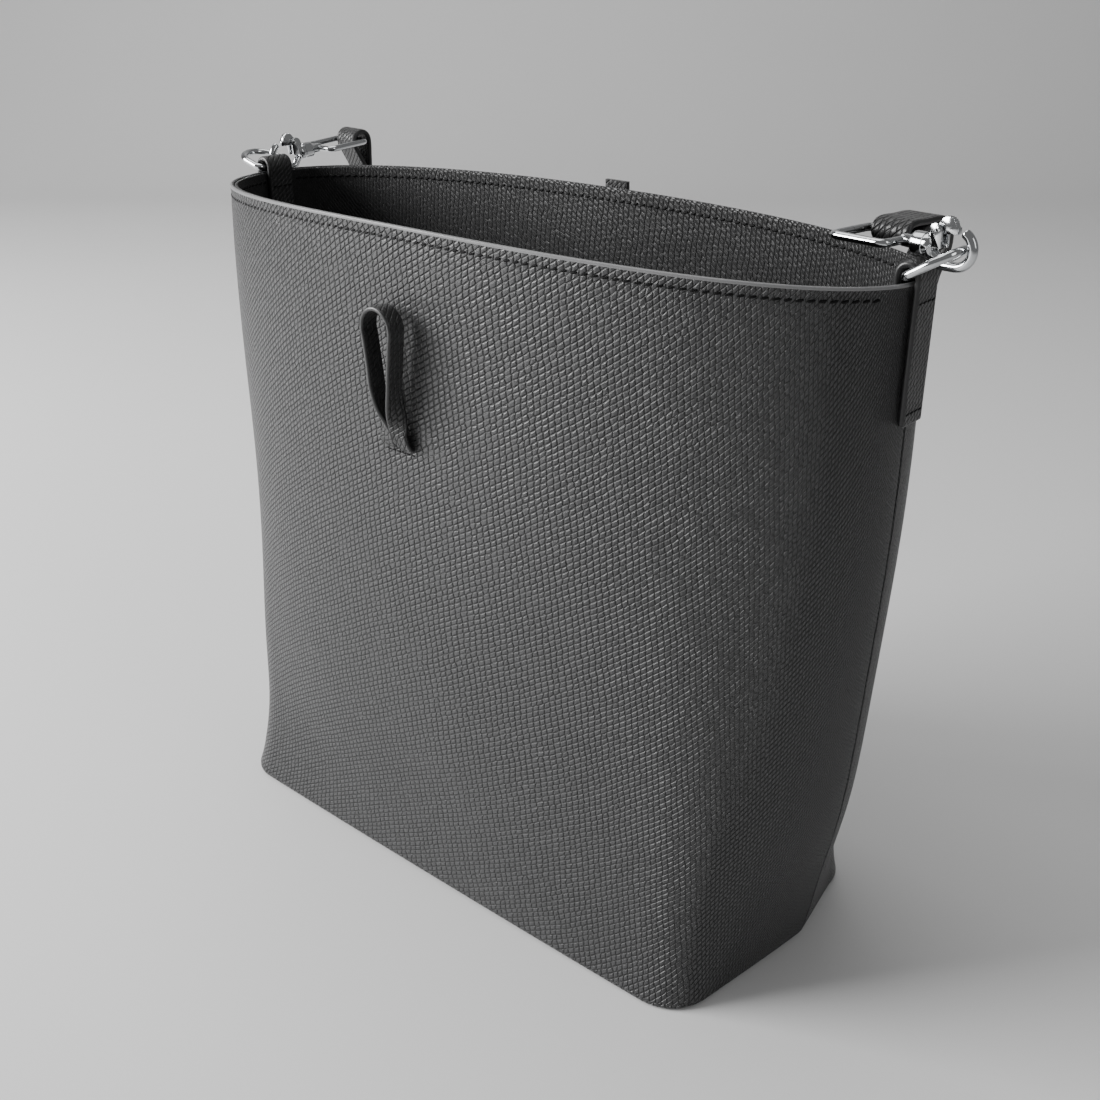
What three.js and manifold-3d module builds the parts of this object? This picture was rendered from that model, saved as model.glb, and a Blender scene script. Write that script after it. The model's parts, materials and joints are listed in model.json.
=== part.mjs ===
// Open-topped leather shoulder bag with a closure loop, a toggle strap and a hook-on shoulder strap.
// Millimetres, +Z up, +X along the width, -Y towards the front. Origin at the middle of the underside.
import * as THREE from 'three';
import { mergeVertices } from 'three/addons/utils/BufferGeometryUtils.js';
import Module from 'manifold-3d';

const wasm = await Module();
wasm.setup();

// Fit
const gap = 0.3;

// Bag body
const bagHeight = 280;
const baseHalfLength = 139.2;
const baseFront = { depth: 74.8, cornerRadius: 19.6 };
const baseBack = { depth: 57, cornerRadius: 22 };
const sidePeak = 5.5;
const mouthHalfLength = 162;
const mouthFrontBulge = 81.2;
const mouthBackBulge = 42.3;
const mouthEndForward = 5.2;
const mouthEndDrop = 4.5;
const mouthFrontRise = 2.8;
const mouthFrontPowers = { along: 2.26, across: 1.83 };
const mouthBackPowers = { along: 3.05, across: 2.59 };
const flareLow = 0.55;
const flareLowBack = 1;
const flareHigh = 1.48;
const pinchDepth = 1.9;
const pinchHeight = 34;
const pinchSpread = 28;
const leatherThickness = 1.6;
const liningThickness = 1.2;
const baseLeatherThickness = 1.8;
const boardThickness = 2;
const boardClearance = 1;

// Side tabs and D-rings
const tabWidth = 13.4;
const tabThickness = 2.2;
const tabOuterLength = 49;
const tabInnerLength = 36;
const tabFoldRadius = 2.4;
const ringWire = 3;
const ringInnerWidth = 14.5;
const ringLegLength = 8;
const ringLeanLeft = 75;
const ringLeanRight = 58;

// Snap hooks, in their own frame: x towards the tip, y across the opening, z through it
const hookWire = 3.2;
const hookBendRadius = 5.6;
const hookThroat = 8;
const barrelRadius = 3.7;
const barrelLength = 7.4;
const barrelWall = 1.2;
const studRadius = 1.3;
const studHeadRadius = 2.3;
const studClearance = 0.35;
const neckLength = 2.6;
const gateWidth = 2.4;
const earThickness = 0.9;
const pinRadius = 0.7;
const thumbRadius = 3.1;
const eyeInner = 17.5;
const eyeWire = 2.8;

// Shoulder strap
const strapWidth = 15;
const strapThickness = 2.2;
const strapFoldRadius = 4.2;
const strapDrop = 256;
const strapBehindBag = 2.4;
const strapTailLeft = 32;
const strapTailRight = 16;

// Closure loop and toggle
const loopStripWidth = 7.4;
const loopThickness = 1.8;
const loopHeight = 53;
const loopOuterWidth = 16;
const loopBelowRim = 81;
const toggleStrapWidth = 12;
const toggleStrapThickness = 2;
const toggleStrapLength = 138;
const toggleAnchorLength = 24;
const toggleAnchorThickness = 1;
const toggleLean = 2.2;
const toggleRadius = 4.5;
const toggleLength = 38;
const toggleEndRadius = 5.2;

const rad = THREE.MathUtils.degToRad;
const wallThickness = leatherThickness + gap + liningThickness;
const boardBottom = baseLeatherThickness + gap;
const baseLiningBottom = boardBottom + boardThickness + gap;
const liningBottom = baseLiningBottom + liningThickness + gap;

const leather = { color: 0x161617, roughness: 0.5, metalness: 0 };
const liningLeather = { color: 0x111112, roughness: 0.6, metalness: 0 };
const boardFinish = { color: 0x2a2724, roughness: 0.9, metalness: 0 };
const chrome = { color: 0xc9cbce, roughness: 0.12, metalness: 1 };
const springSteel = { color: 0x9a9ca0, roughness: 0.35, metalness: 1 };

const bag = new THREE.Group();

function addPart(name, geometry, finish, parent = bag) {
  const mesh = new THREE.Mesh(outward(geometry), new THREE.MeshStandardMaterial(finish));
  mesh.name = name;
  parent.add(mesh);
  return mesh;
}

// Bare positions with shared corners, as a solid needs.
function bare(geometry) {
  const copy = geometry.clone();
  copy.deleteAttribute('normal');
  copy.deleteAttribute('uv');
  return mergeVertices(copy, 1e-4);
}

// Turns a closed mesh so that its faces point out of it.
function outward(geometry) {
  const closed = bare(geometry);
  const position = closed.attributes.position;
  const index = Array.from(closed.index.array);
  const [a, b, c] = [new THREE.Vector3(), new THREE.Vector3(), new THREE.Vector3()];
  let volume = 0;
  for (let i = 0; i < index.length; i += 3) {
    a.fromBufferAttribute(position, index[i]);
    b.fromBufferAttribute(position, index[i + 1]);
    c.fromBufferAttribute(position, index[i + 2]);
    volume += a.dot(b.cross(c));
  }
  closed.setIndex(volume < 0 ? index.reverse() : index);
  closed.computeVertexNormals();
  return closed;
}

function solid(geometry) {
  const closed = outward(geometry);
  const vertProperties = new Float32Array(closed.attributes.position.array);
  const triVerts = new Uint32Array(closed.index.array);
  return new wasm.Manifold(new wasm.Mesh({ numProp: 3, vertProperties, triVerts }));
}

function geometryOf(manifold) {
  const mesh = manifold.getMesh();
  const geometry = new THREE.BufferGeometry();
  geometry.setAttribute('position', new THREE.BufferAttribute(mesh.vertProperties, 3));
  geometry.setIndex(new THREE.BufferAttribute(mesh.triVerts, 1));
  return geometry;
}

// Joins a row of closed sections into one body. Each section lists one side forwards and the other
// side backwards, so that its two halves face each other and close the ends. Both sides are split along
// the same diagonals, so that layers with the same rows lie parallel.
function loft(sections) {
  const count = sections[0].length;
  const half = count / 2;
  const positions = sections.flat().flatMap((p) => [p.x, p.y, p.z]);
  const index = [];
  const quad = (a, b, c, d) => index.push(a, b, c, a, c, d);
  for (let i = 0; i < sections.length - 1; i += 1) {
    for (let j = 0; j < count; j += 1) {
      const next = (j + 1) % count;
      const [a, b] = [i * count + j, (i + 1) * count + j];
      const [c, d] = [(i + 1) * count + next, i * count + next];
      if (j < half) quad(a, b, c, d);
      else quad(b, c, d, a);
    }
  }
  const last = (sections.length - 1) * count;
  for (let j = 0; j < half - 1; j += 1) {
    const across = count - 1 - j;
    quad(j, j + 1, across - 1, across);
    quad(last + across, last + across - 1, last + j + 1, last + j);
  }
  const geometry = new THREE.BufferGeometry();
  geometry.setAttribute('position', new THREE.Float32BufferAttribute(positions, 3));
  geometry.setIndex(index);
  return geometry;
}

// A flat strip along a route, with its width along a direction given at each point.
function strip(points, widthDirections, width, thickness) {
  return loft(points.map((point, i) => {
    const before = points[Math.max(i - 1, 0)];
    const after = points[Math.min(i + 1, points.length - 1)];
    const tangent = after.clone().sub(before).normalize();
    const across = widthDirections[i].clone();
    across.addScaledVector(tangent, -across.dot(tangent)).normalize().multiplyScalar(width / 2);
    const out = tangent.clone().cross(across).normalize().multiplyScalar(thickness / 2);
    const corner = (u, v) => point.clone().addScaledVector(across, u).addScaledVector(out, v);
    return [corner(-1, 1), corner(1, 1), corner(1, -1), corner(-1, -1)];
  }));
}

function rod(points, radius, steps, sides = 8) {
  const section = new THREE.Shape();
  for (let i = 0; i < sides; i += 1) {
    const angle = (2 * Math.PI * i) / sides;
    const place = [radius * Math.cos(angle), radius * Math.sin(angle)];
    if (i === 0) section.moveTo(...place);
    else section.lineTo(...place);
  }
  const extrudePath = new THREE.CatmullRomCurve3(points, false, 'centripetal');
  return new THREE.ExtrudeGeometry(section, { steps, extrudePath, curveSegments: 1 });
}

// A turned piece along x, from (x, radius) pairs that start and end on its axis.
function turned(profile, sides = 16) {
  const outline = profile.map(([x, radius]) => new THREE.Vector2(radius, x));
  return new THREE.LatheGeometry(outline, sides).rotateZ(-Math.PI / 2);
}

function arc(centreX, centreY, radius, from, to, count) {
  return Array.from({ length: count + 1 }, (_, i) => {
    const angle = rad(from + ((to - from) * i) / count);
    return [centreX + radius * Math.cos(angle), centreY + radius * Math.sin(angle)];
  });
}

function smooth(value) {
  const t = Math.min(Math.max(value, 0), 1);
  return t * t * (3 - 2 * t);
}

// ---- Body wall: the base outline below and the mouth outline above, blended by height ----

// Points along an outline, closer together towards its two ends, where the side seams are.
function spaced(outline, count) {
  const lengths = [0];
  for (let i = 1; i < outline.length; i += 1) {
    const step = Math.hypot(outline[i][0] - outline[i - 1][0], outline[i][1] - outline[i - 1][1]);
    lengths.push(lengths[i - 1] + step);
  }
  let i = 1;
  return Array.from({ length: count + 1 }, (_, k) => {
    const share = k / count;
    const target = lengths.at(-1) * (share - endCrowding * Math.sin(2 * Math.PI * share));
    while (i < outline.length - 1 && lengths[i] < target) i += 1;
    const part = (target - lengths[i - 1]) / (lengths[i] - lengths[i - 1]);
    return outline[i].map((value, axis) => outline[i - 1][axis] + part * (value - outline[i - 1][axis]));
  });
}

// Half of the base outline, from the left seam round the front (side -1) or back (side 1).
function baseOutline(side) {
  const length = baseHalfLength - sidePeak;
  const { depth, cornerRadius: radius } = side < 0 ? baseFront : baseBack;
  const left = arc(radius - length, radius - depth, radius, 180, 270, 6);
  const right = arc(length - radius, radius - depth, radius, 270, 360, 6);
  const outline = [[-baseHalfLength, 0], ...left, ...right, [baseHalfLength, 0]];
  return outline.map(([x, y]) => [x, -side * y]);
}

function mouthOutline(side) {
  const powers = side < 0 ? mouthFrontPowers : mouthBackPowers;
  const bulge = side < 0 ? mouthFrontBulge : mouthBackBulge;
  const rise = side < 0 ? mouthFrontRise : 0;
  return Array.from({ length: 241 }, (_, i) => {
    const c = -Math.cos((Math.PI * i) / 240);
    const end = c * c;
    const y = side * bulge * Math.max(1 - Math.abs(c) ** powers.along, 0) ** (1 / powers.across);
    const z = bagHeight + rise * (1 - end) - mouthEndDrop * end;
    return [mouthHalfLength * c, y - mouthEndForward * end, z];
  });
}

const wallColumns = 28;
const endCrowding = 0.1;
const outlines = {};
for (const side of [-1, 1]) {
  outlines[side] = {
    base: spaced(baseOutline(side), wallColumns),
    mouth: spaced(mouthOutline(side), wallColumns),
  };
}

function wallPoint(side, column, share) {
  const base = outlines[side].base[column];
  const mouth = outlines[side].mouth[column];
  const middle = side < 0 ? 0 : 1 - Math.abs((2 * column) / wallColumns - 1);
  const low = flareLow + middle * (flareLowBack - flareLow);
  const blend = 1 - (1 - share) ** flareHigh * (1 - share ** low);
  const point = new THREE.Vector3(
    base[0] + blend * (mouth[0] - base[0]),
    base[1] + blend * (mouth[1] - base[1]),
    share * mouth[2],
  );
  const pinch = pinchDepth * Math.exp(-(((point.z - pinchHeight) / pinchSpread) ** 2));
  const reach = Math.max(Math.hypot(point.x, point.y), 1);
  const squeeze = 1 - (pinch * Math.min(point.z / 8, 1)) / reach;
  return new THREE.Vector3(point.x * squeeze, point.y * squeeze, point.z);
}

// The wall's outward direction in plan. At a seam it points along x.
function wallOut(side, column, share) {
  if (column === 0) return new THREE.Vector3(-1, 0, 0);
  if (column === wallColumns) return new THREE.Vector3(1, 0, 0);
  const along = wallPoint(side, column + 1, share).sub(wallPoint(side, column - 1, share));
  return new THREE.Vector3(-side * along.y, side * along.x, 0).normalize();
}

const wallShares = [0.04, 0.07, 0.14, 0.23, 0.34, 0.46, 0.6, 0.74, 0.88, 1];

// One panel of the wall, between two depths under its outer face, from a given height to the mouth.
function wallPanel(side, outerDepth, innerDepth, bottom) {
  const rows = [boardBottom / bagHeight, liningBottom / bagHeight, ...wallShares];
  if (bottom > boardBottom) rows.shift();
  return loft(Array.from({ length: wallColumns + 1 }, (_, column) => {
    const seam = column === 0 || column === wallColumns ? (side * gap) / 2 : 0;
    const at = (share, depth) => {
      const point = wallPoint(side, column, share).addScaledVector(wallOut(side, column, share), -depth);
      point.y += seam;
      return point;
    };
    const outer = rows.map((share) => at(share, outerDepth));
    const inner = rows.map((share) => at(share, innerDepth)).reverse();
    return [...outer, ...inner];
  }));
}

// The y of the wall's outer face at a place across and up the bag.
function wallY(side, x, z) {
  const share = z / bagHeight;
  for (let column = 1; column <= wallColumns; column += 1) {
    const a = wallPoint(side, column - 1, share);
    const b = wallPoint(side, column, share);
    if (x <= b.x) return a.y + ((x - a.x) / (b.x - a.x)) * (b.y - a.y);
  }
  return 0;
}

// A flat plate whose outline follows the wall at one height, a given depth under its outer face.
function plate(share, depth, bottom, thickness) {
  const edge = (side, column) => wallPoint(side, column, share)
    .addScaledVector(wallOut(side, column, share), -depth);
  const columns = Array.from({ length: wallColumns + 1 }, (_, column) => column);
  const front = columns.map((column) => edge(-1, column));
  const back = columns.slice(1, -1).reverse().map((column) => edge(1, column));
  const points = [...front, ...back].map((point) => new THREE.Vector2(point.x, point.y));
  const settings = { depth: thickness, bevelEnabled: false };
  return new THREE.ExtrudeGeometry(new THREE.Shape(points), settings).translate(0, 0, bottom);
}

// ---- Closure loop: one strip out of a slit in the front panel, up, round and back into the slit ----

const loopZ = bagHeight + mouthFrontRise - loopBelowRim;
const loopSlit = { length: 2 * loopStripWidth + 1, height: loopThickness + 2 * gap };

function loopRoute() {
  const legX = (loopStripWidth + gap) / 2;
  const archX = loopOuterWidth / 2 - loopThickness / 2;
  const archZ = loopHeight - archX;
  const points = [];
  const widths = [];
  const outOf = (x, z) => wallY(-1, x, loopZ + z);
  const add = (x, z, proud, turn, side) => {
    points.push(new THREE.Vector3(x, outOf(x, z) - proud, loopZ + z));
    widths.push(new THREE.Vector3(-side * Math.cos(turn), -Math.sin(turn), 0));
  };
  const leg = (side) => {
    const route = [[legX, 0, -1.1, 0], [legX, 0.1, 1.2, 0], [legX, 1.9, 2.6, 0]];
    for (const share of [0.1, 0.2, 0.35, 0.5, 0.7, 0.9, 1]) {
      const spread = legX * 0.7 + (archX - legX * 0.7) * share ** 1.4;
      route.push([spread, archZ * share, 3 + 3.2 * smooth(share * 2), (Math.PI / 2) * smooth(share * 2)]);
    }
    return route.map(([x, z, proud, turn]) => [side * x, z, proud, turn, side]);
  };
  leg(1).forEach((place) => add(...place));
  for (const [x, z] of arc(0, archZ, archX, 0, 180, 8).slice(1, -1)) add(x, z, 6.2, Math.PI / 2, 1);
  leg(-1).reverse().forEach((place) => add(...place));
  return [points, widths];
}

function frontPanel() {
  const slit = new THREE.BoxGeometry(loopSlit.length, 12, loopSlit.height);
  slit.translate(0, wallY(-1, 0, loopZ), loopZ);
  return geometryOf(solid(wallPanel(-1, 0, leatherThickness, boardBottom)).subtract(solid(slit)));
}

const boardShare = (baseLiningBottom + liningThickness) / bagHeight;
const boardDepth = leatherThickness + gap + boardClearance;
addPart('base_panel', plate(0, 0, 0, baseLeatherThickness), leather);
addPart('base_board', plate(boardShare, boardDepth, boardBottom, boardThickness), boardFinish);
addPart('base_lining', plate(boardShare, boardDepth, baseLiningBottom, liningThickness), liningLeather);
addPart('front_panel', frontPanel(), leather);
addPart('back_panel', wallPanel(1, 0, leatherThickness, boardBottom), leather);
addPart('front_lining', wallPanel(-1, leatherThickness + gap, wallThickness, liningBottom), liningLeather);
addPart('back_lining', wallPanel(1, leatherThickness + gap, wallThickness, liningBottom), liningLeather);
addPart('closure_loop', strip(...loopRoute(), loopStripWidth, loopThickness), leather);

// ---- Side tabs and D-rings ----

const mouthEndZ = bagHeight - mouthEndDrop;
const tabFoldX = mouthHalfLength + gap - tabFoldRadius;
const tabFoldZ = mouthEndZ + 2.2;
const seamY = -mouthEndForward;

// A strap folded over the mouth's end: outer leg down the side, inner leg down the lining.
function tab(side) {
  const middle = tabFoldRadius + tabThickness / 2;
  const route = [[middle, -tabOuterLength], [middle, -tabOuterLength / 2], [middle, -6]];
  route.push(...arc(0, 0, middle, 0, 180, 8));
  route.push([-middle, -6], [-middle, -tabInnerLength / 2], [-middle, -tabInnerLength]);
  const points = route.map(([x, z]) => new THREE.Vector3(side * (tabFoldX + x), seamY, tabFoldZ + z));
  return strip(points, points.map(() => new THREE.Vector3(0, 1, 0)), tabWidth, tabThickness);
}

const ringRadius = (ringInnerWidth + ringWire) / 2;

// A bent D: the bar lies along y at the origin, the bow reaches along z. The bar is split at its middle.
function dRing() {
  const half = gap / 2;
  const corner = ringRadius - 2;
  const flat = [[half, 0], [corner / 2, 0], [corner, 0]];
  flat.push(...arc(corner, 2, 2, -90, 0, 3).slice(1), [ringRadius, ringLegLength / 2 + 1]);
  flat.push(...arc(0, ringLegLength, ringRadius, 0, 90, 6));
  const mirrored = flat.slice(0, -1).reverse().map(([y, z]) => [-y, z]);
  const points = [...flat, ...mirrored].map(([y, z]) => new THREE.Vector3(0, y, z));
  return rod(points, ringWire / 2, 44);
}

// ---- Snap hook ----

const bendX = hookBendRadius - hookWire / 2 - ringWire / 2 - gap;
const barrelFront = -bendX - hookThroat;
const barrelBack = barrelFront - barrelLength;
const eyeNear = barrelBack - gap - eyeWire / 2 - neckLength;
const eyeFar = eyeNear - eyeInner - eyeWire;
const gatePivot = [barrelFront + 2.1, -hookBendRadius];
const noseAngle = -62;

function shiftX(points) {
  return points.map(([x, y]) => new THREE.Vector3(x - bendX, y, 0));
}

// The hook's rod runs from the barrel along one side, round the bend and back to its nose.
function hookBody() {
  const shank = [[barrelFront + bendX - 2, 1.2], [barrelFront + bendX + 0.6, 3], [barrelFront + bendX + 3, hookBendRadius]];
  const bend = arc(0, 0, hookBendRadius, 90, noseAngle, 10);
  const hook = rod(shiftX([...shank, ...bend]), hookWire / 2, 30);
  const cavity = barrelBack + barrelWall;
  const barrel = turned([
    [barrelFront, 0], [barrelFront, barrelRadius - 0.6], [barrelFront - 0.6, barrelRadius],
    [barrelBack + 0.6, barrelRadius], [barrelBack, barrelRadius - 0.6],
    [barrelBack, studRadius + studClearance], [cavity, studRadius + studClearance],
    [cavity, studHeadRadius + studClearance], [cavity + 2.6, studHeadRadius + studClearance], [cavity + 2.6, 0],
  ]);
  let body = solid(barrel).add(solid(hook));
  const earZ = gateWidth / 2 + gap + earThickness / 2;
  for (const side of [-1, 1]) {
    const ear = new THREE.BoxGeometry(5.4, hookBendRadius + 1.6, earThickness);
    ear.translate(barrelFront + 1.2, -(hookBendRadius + 1.6) / 2 + 0.6, side * earZ);
    body = body.add(solid(ear));
  }
  const hole = new THREE.CylinderGeometry(pinRadius + gap, pinRadius + gap, 12, 10);
  return geometryOf(body.subtract(solid(hole.rotateX(Math.PI / 2).translate(...gatePivot, 0))));
}

// The gate turns on its pin. Its nose end rests just inside the hook's nose.
function gate() {
  const nose = rad(noseAngle);
  const tip = hookBendRadius * Math.cos(nose) - bendX - gatePivot[0] - hookWire / 2 - 0.6;
  const outline = new THREE.Shape();
  const points = [...arc(0, 0, 1.7, 90, 180, 3), ...arc(0, 0, 1.7, 180, 250, 2), ...arc(2.4, -0.8, thumbRadius, 215, 345, 6)];
  points.push([tip, -1], [tip, 1.2]);
  points.forEach(([x, y], i) => (i === 0 ? outline.moveTo(x, y) : outline.lineTo(x, y)));
  const blade = new THREE.ExtrudeGeometry(outline, { depth: gateWidth, bevelEnabled: false });
  blade.translate(0, 0, -gateWidth / 2);
  const hole = new THREE.CylinderGeometry(pinRadius + gap, pinRadius + gap, 12, 10).rotateX(Math.PI / 2);
  const recess = new THREE.CylinderGeometry(1.5, 1.5, 2, 12).rotateX(Math.PI / 2);
  recess.translate(0, 0, gateWidth / 2 + 0.2);
  const cut = solid(blade).subtract(solid(hole)).subtract(solid(recess));
  return geometryOf(cut).translate(...gatePivot, 0);
}

function gatePin() {
  const length = gateWidth + 2 * (gap + earThickness) + 0.2;
  return new THREE.CylinderGeometry(pinRadius, pinRadius, length, 10).rotateX(Math.PI / 2).translate(...gatePivot, 0);
}

function gateSpring() {
  const outline = [[1.05, 0], [1.35, 0], [1.35, 0.7], [1.05, 0.7], [1.05, 0]];
  const ring = new THREE.LatheGeometry(outline.map((place) => new THREE.Vector2(...place)), 12);
  return ring.rotateX(Math.PI / 2).translate(...gatePivot, gateWidth / 2 - 0.65);
}

// A square wire eye on a headed stud that turns in the barrel. The wire is split at the far bar's middle.
function eye() {
  const half = (eyeInner + eyeWire) / 2;
  const corner = 2.4;
  const side = [[eyeFar, gap / 2], [eyeFar, half - corner - 1], [eyeFar, half - corner]];
  side.push(...arc(eyeFar + corner, half - corner, corner, 180, 90, 3).slice(1));
  side.push([(eyeFar + eyeNear) / 2, half]);
  side.push(...arc(eyeNear - corner, half - corner, corner, 90, 0, 3));
  const wire = [...side, [eyeNear, 0], ...side.map(([x, y]) => [x, -y]).reverse()];
  const frame = rod(wire.map(([x, z]) => new THREE.Vector3(x, 0, z)), eyeWire / 2, 56);
  const headBack = barrelBack + barrelWall + studClearance;
  const stud = turned([
    [eyeNear, 0], [eyeNear, studRadius + 0.9], [barrelBack - gap, studRadius + 0.9], [barrelBack - gap, studRadius],
    [headBack, studRadius], [headBack, studHeadRadius], [headBack + 1.5, studHeadRadius], [headBack + 1.5, 0],
  ]);
  return geometryOf(solid(frame).add(solid(stud)));
}

// Places a hook frame: its origin at the ring's wire, x to the tip, z along the wire.
function hookGroup(name, origin, tipDirection, wireDirection) {
  const x = tipDirection.clone().normalize();
  const y = wireDirection.clone().cross(x).normalize();
  const z = x.clone().cross(y);
  const group = new THREE.Group();
  group.quaternion.setFromRotationMatrix(new THREE.Matrix4().makeBasis(x, y, z));
  group.position.copy(origin);
  bag.add(group);
  addPart(`${name}_hook_body`, hookBody(), chrome, group);
  addPart(`${name}_hook_gate`, gate(), chrome, group);
  addPart(`${name}_gate_pin`, gatePin(), chrome, group);
  addPart(`${name}_gate_spring`, gateSpring(), springSteel, group);
  addPart(`${name}_swivel_eye`, eye(), chrome, group);
  return group;
}

function ringPlace(side, lean) {
  const bar = new THREE.Vector3(side * tabFoldX, seamY, tabFoldZ);
  const reach = new THREE.Vector3(side * Math.sin(rad(lean)), 0, Math.cos(rad(lean)));
  return { bar, reach, turn: side * rad(lean) };
}

const left = ringPlace(-1, ringLeanLeft);
const right = ringPlace(1, ringLeanRight);
for (const [name, place, side] of [['left', left, -1], ['right', right, 1]]) {
  addPart(`${name}_tab`, tab(side), leather);
  const ring = addPart(`${name}_d_ring`, dRing(), chrome);
  ring.position.copy(place.bar);
  ring.rotation.y = place.turn;
}

// The left hook hangs on the back leg of its ring and points its eye backwards. The right hook lies on
// the bow of its ring, in line with the strap's swing.
const leftContact = left.bar.clone().addScaledVector(left.reach, ringLegLength);
leftContact.y += ringRadius;
const leftEyeDirection = new THREE.Vector3(0.12, 0.99, 0.1).normalize();
const leftBar = leftContact.clone().addScaledVector(leftEyeDirection, -eyeFar);
const rightContact = right.bar.clone().addScaledVector(right.reach, ringLegLength + ringRadius);
const swing = rightContact.clone().sub(leftBar).normalize();

hookGroup('left', leftContact, leftEyeDirection.clone().negate(), swing);
hookGroup('right', rightContact, swing, new THREE.Vector3(0, 1, 0));

// ---- Shoulder strap: round the left eye's far bar, down behind the bag in a hanging curve, up over the
// back of the mouth and round the right eye's side bar ----

const backwards = new THREE.Vector3(0, 0, 1).cross(swing).normalize();
const eyeMiddle = (eyeNear + eyeFar) / 2;
const rightBar = rightContact.clone().addScaledVector(swing, eyeMiddle);
rightBar.addScaledVector(backwards, (eyeInner + eyeWire) / 2);

function catenarySize(halfSpan, drop) {
  let low = 5;
  let high = 2000;
  for (let i = 0; i < 60; i += 1) {
    const size = (low + high) / 2;
    if (size * (Math.cosh(halfSpan / size) - 1) > drop) low = size;
    else high = size;
  }
  return low;
}

function strapRoute() {
  const points = [];
  const widths = [];
  const add = (centre, y, z, turn = 0) => {
    points.push(centre.clone().addScaledVector(backwards, y).add(new THREE.Vector3(0, 0, z)));
    widths.push(swing.clone().multiplyScalar(Math.cos(turn)).addScaledVector(backwards, Math.sin(turn)));
  };
  const fold = strapFoldRadius;
  const beside = fold - strapThickness - gap;
  add(leftBar, beside, -strapTailLeft);
  add(leftBar, beside, -strapTailLeft / 2);
  add(leftBar, beside, -13);
  add(leftBar, (beside - fold) / 2, -7);
  arc(0, 0, fold, 190, 0, 9).forEach(([y, z]) => add(leftBar, y, z));
  add(leftBar, fold, -8);

  const top = leftBar.clone().addScaledVector(backwards, fold);
  top.z -= 14;
  const overMouth = rightBar.clone();
  overMouth.y = wallY(1, rightBar.x, bagHeight * 0.97) + strapThickness / 2 + strapBehindBag + 5;
  overMouth.z = top.z;
  const middleX = (top.x + overMouth.x) / 2;
  const halfSpan = (overMouth.x - top.x) / 2;
  const size = catenarySize(halfSpan, strapDrop);
  const lowZ = top.z - strapDrop;
  const lowY = wallY(1, middleX, lowZ) + strapWidth / 2 + strapBehindBag;
  const slope = Math.sinh(halfSpan / size);
  const steps = 44;
  for (let i = 0; i <= steps; i += 1) {
    const along = Math.asinh(slope * ((2 * i) / steps - 1)) * size;
    const z = lowZ + size * (Math.cosh(along / size) - 1);
    const fall = (top.z - z) / strapDrop;
    const start = along < 0 ? top.y : overMouth.y;
    points.push(new THREE.Vector3(middleX + along, start + (lowY - start) * fall, z));
    const turn = (Math.PI / 2) * smooth((fall - 0.04) / 0.5);
    widths.push(swing.clone().multiplyScalar(Math.cos(turn)).add(new THREE.Vector3(0, Math.sin(turn), 0)));
  }

  const bendRadius = 7;
  const run = overMouth.y - rightBar.y;
  arc(run - bendRadius, fold - bendRadius, bendRadius, 0, 90, 5).forEach(([y, z]) => add(rightBar, y, z));
  add(rightBar, (run - bendRadius) / 2, fold);
  arc(0, 0, fold, 90, 280, 9).forEach(([y, z]) => add(rightBar, y, z));
  add(rightBar, fold * 1.1, (beside - fold) / 2);
  add(rightBar, fold * 1.7, beside);
  add(rightBar, strapTailRight, beside);
  return [points, widths];
}

addPart('shoulder_strap', strip(...strapRoute(), strapWidth, strapThickness), leather);

// ---- Toggle strap: sewn to the outside of the back, hanging, with a plain bar across its end ----

const backY = mouthBackBulge;
const toggleHinge = new THREE.Vector3(0, backY + gap + toggleAnchorThickness + 0.4 + toggleStrapThickness / 2, bagHeight + 1.5);
const toggleAcross = new THREE.Vector3(1, 0, 0);
const toggleLoopRadius = toggleRadius + gap + 0.2 + toggleStrapThickness / 2;

function toggleAnchor() {
  const points = [-toggleAnchorLength, -toggleAnchorLength / 2, -0.6].map((z) => {
    const y = wallY(1, 0, bagHeight + z) + gap + toggleAnchorThickness / 2;
    return new THREE.Vector3(0, y, bagHeight + z);
  });
  return strip(points, points.map(() => toggleAcross), toggleStrapWidth, toggleAnchorThickness);
}

const toggleGroup = new THREE.Group();
toggleGroup.position.copy(toggleHinge);
toggleGroup.rotation.x = rad(toggleLean);
bag.add(toggleGroup);

function toggleStrap() {
  const centreZ = -toggleStrapLength - toggleLoopRadius;
  const route = [[0, 0.9], [0, -toggleStrapLength / 2], [0, -toggleStrapLength + 8]];
  route.push([0.4, -toggleStrapLength + 3]);
  route.push(...arc(toggleLoopRadius * 0.6, centreZ, toggleLoopRadius, 125, 400, 14));
  const points = route.map(([y, z]) => new THREE.Vector3(0, y, z));
  return strip(points, points.map(() => toggleAcross), toggleStrapWidth, toggleStrapThickness);
}

function toggleBar() {
  const half = toggleLength / 2;
  const bulb = toggleEndRadius;
  const profile = [
    [-half, 0], [-half + 0.5, bulb * 0.55], [-half + 1.8, bulb * 0.9], [-half + 3.4, bulb], [-half + 5, bulb * 0.96],
    [-half + 6.4, toggleRadius], [half - 6.4, toggleRadius],
    [half - 5, bulb * 0.96], [half - 3.4, bulb], [half - 1.8, bulb * 0.9], [half - 0.5, bulb * 0.55], [half, 0],
  ];
  return turned(profile).translate(0, toggleLoopRadius * 0.6, -toggleStrapLength - toggleLoopRadius);
}

addPart('toggle_anchor', toggleAnchor(), leather);
addPart('toggle_strap', toggleStrap(), leather, toggleGroup);
addPart('toggle_bar', toggleBar(), { color: 0x0d0d0e, roughness: 0.25, metalness: 0 }, toggleGroup);

export default bag;
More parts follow.
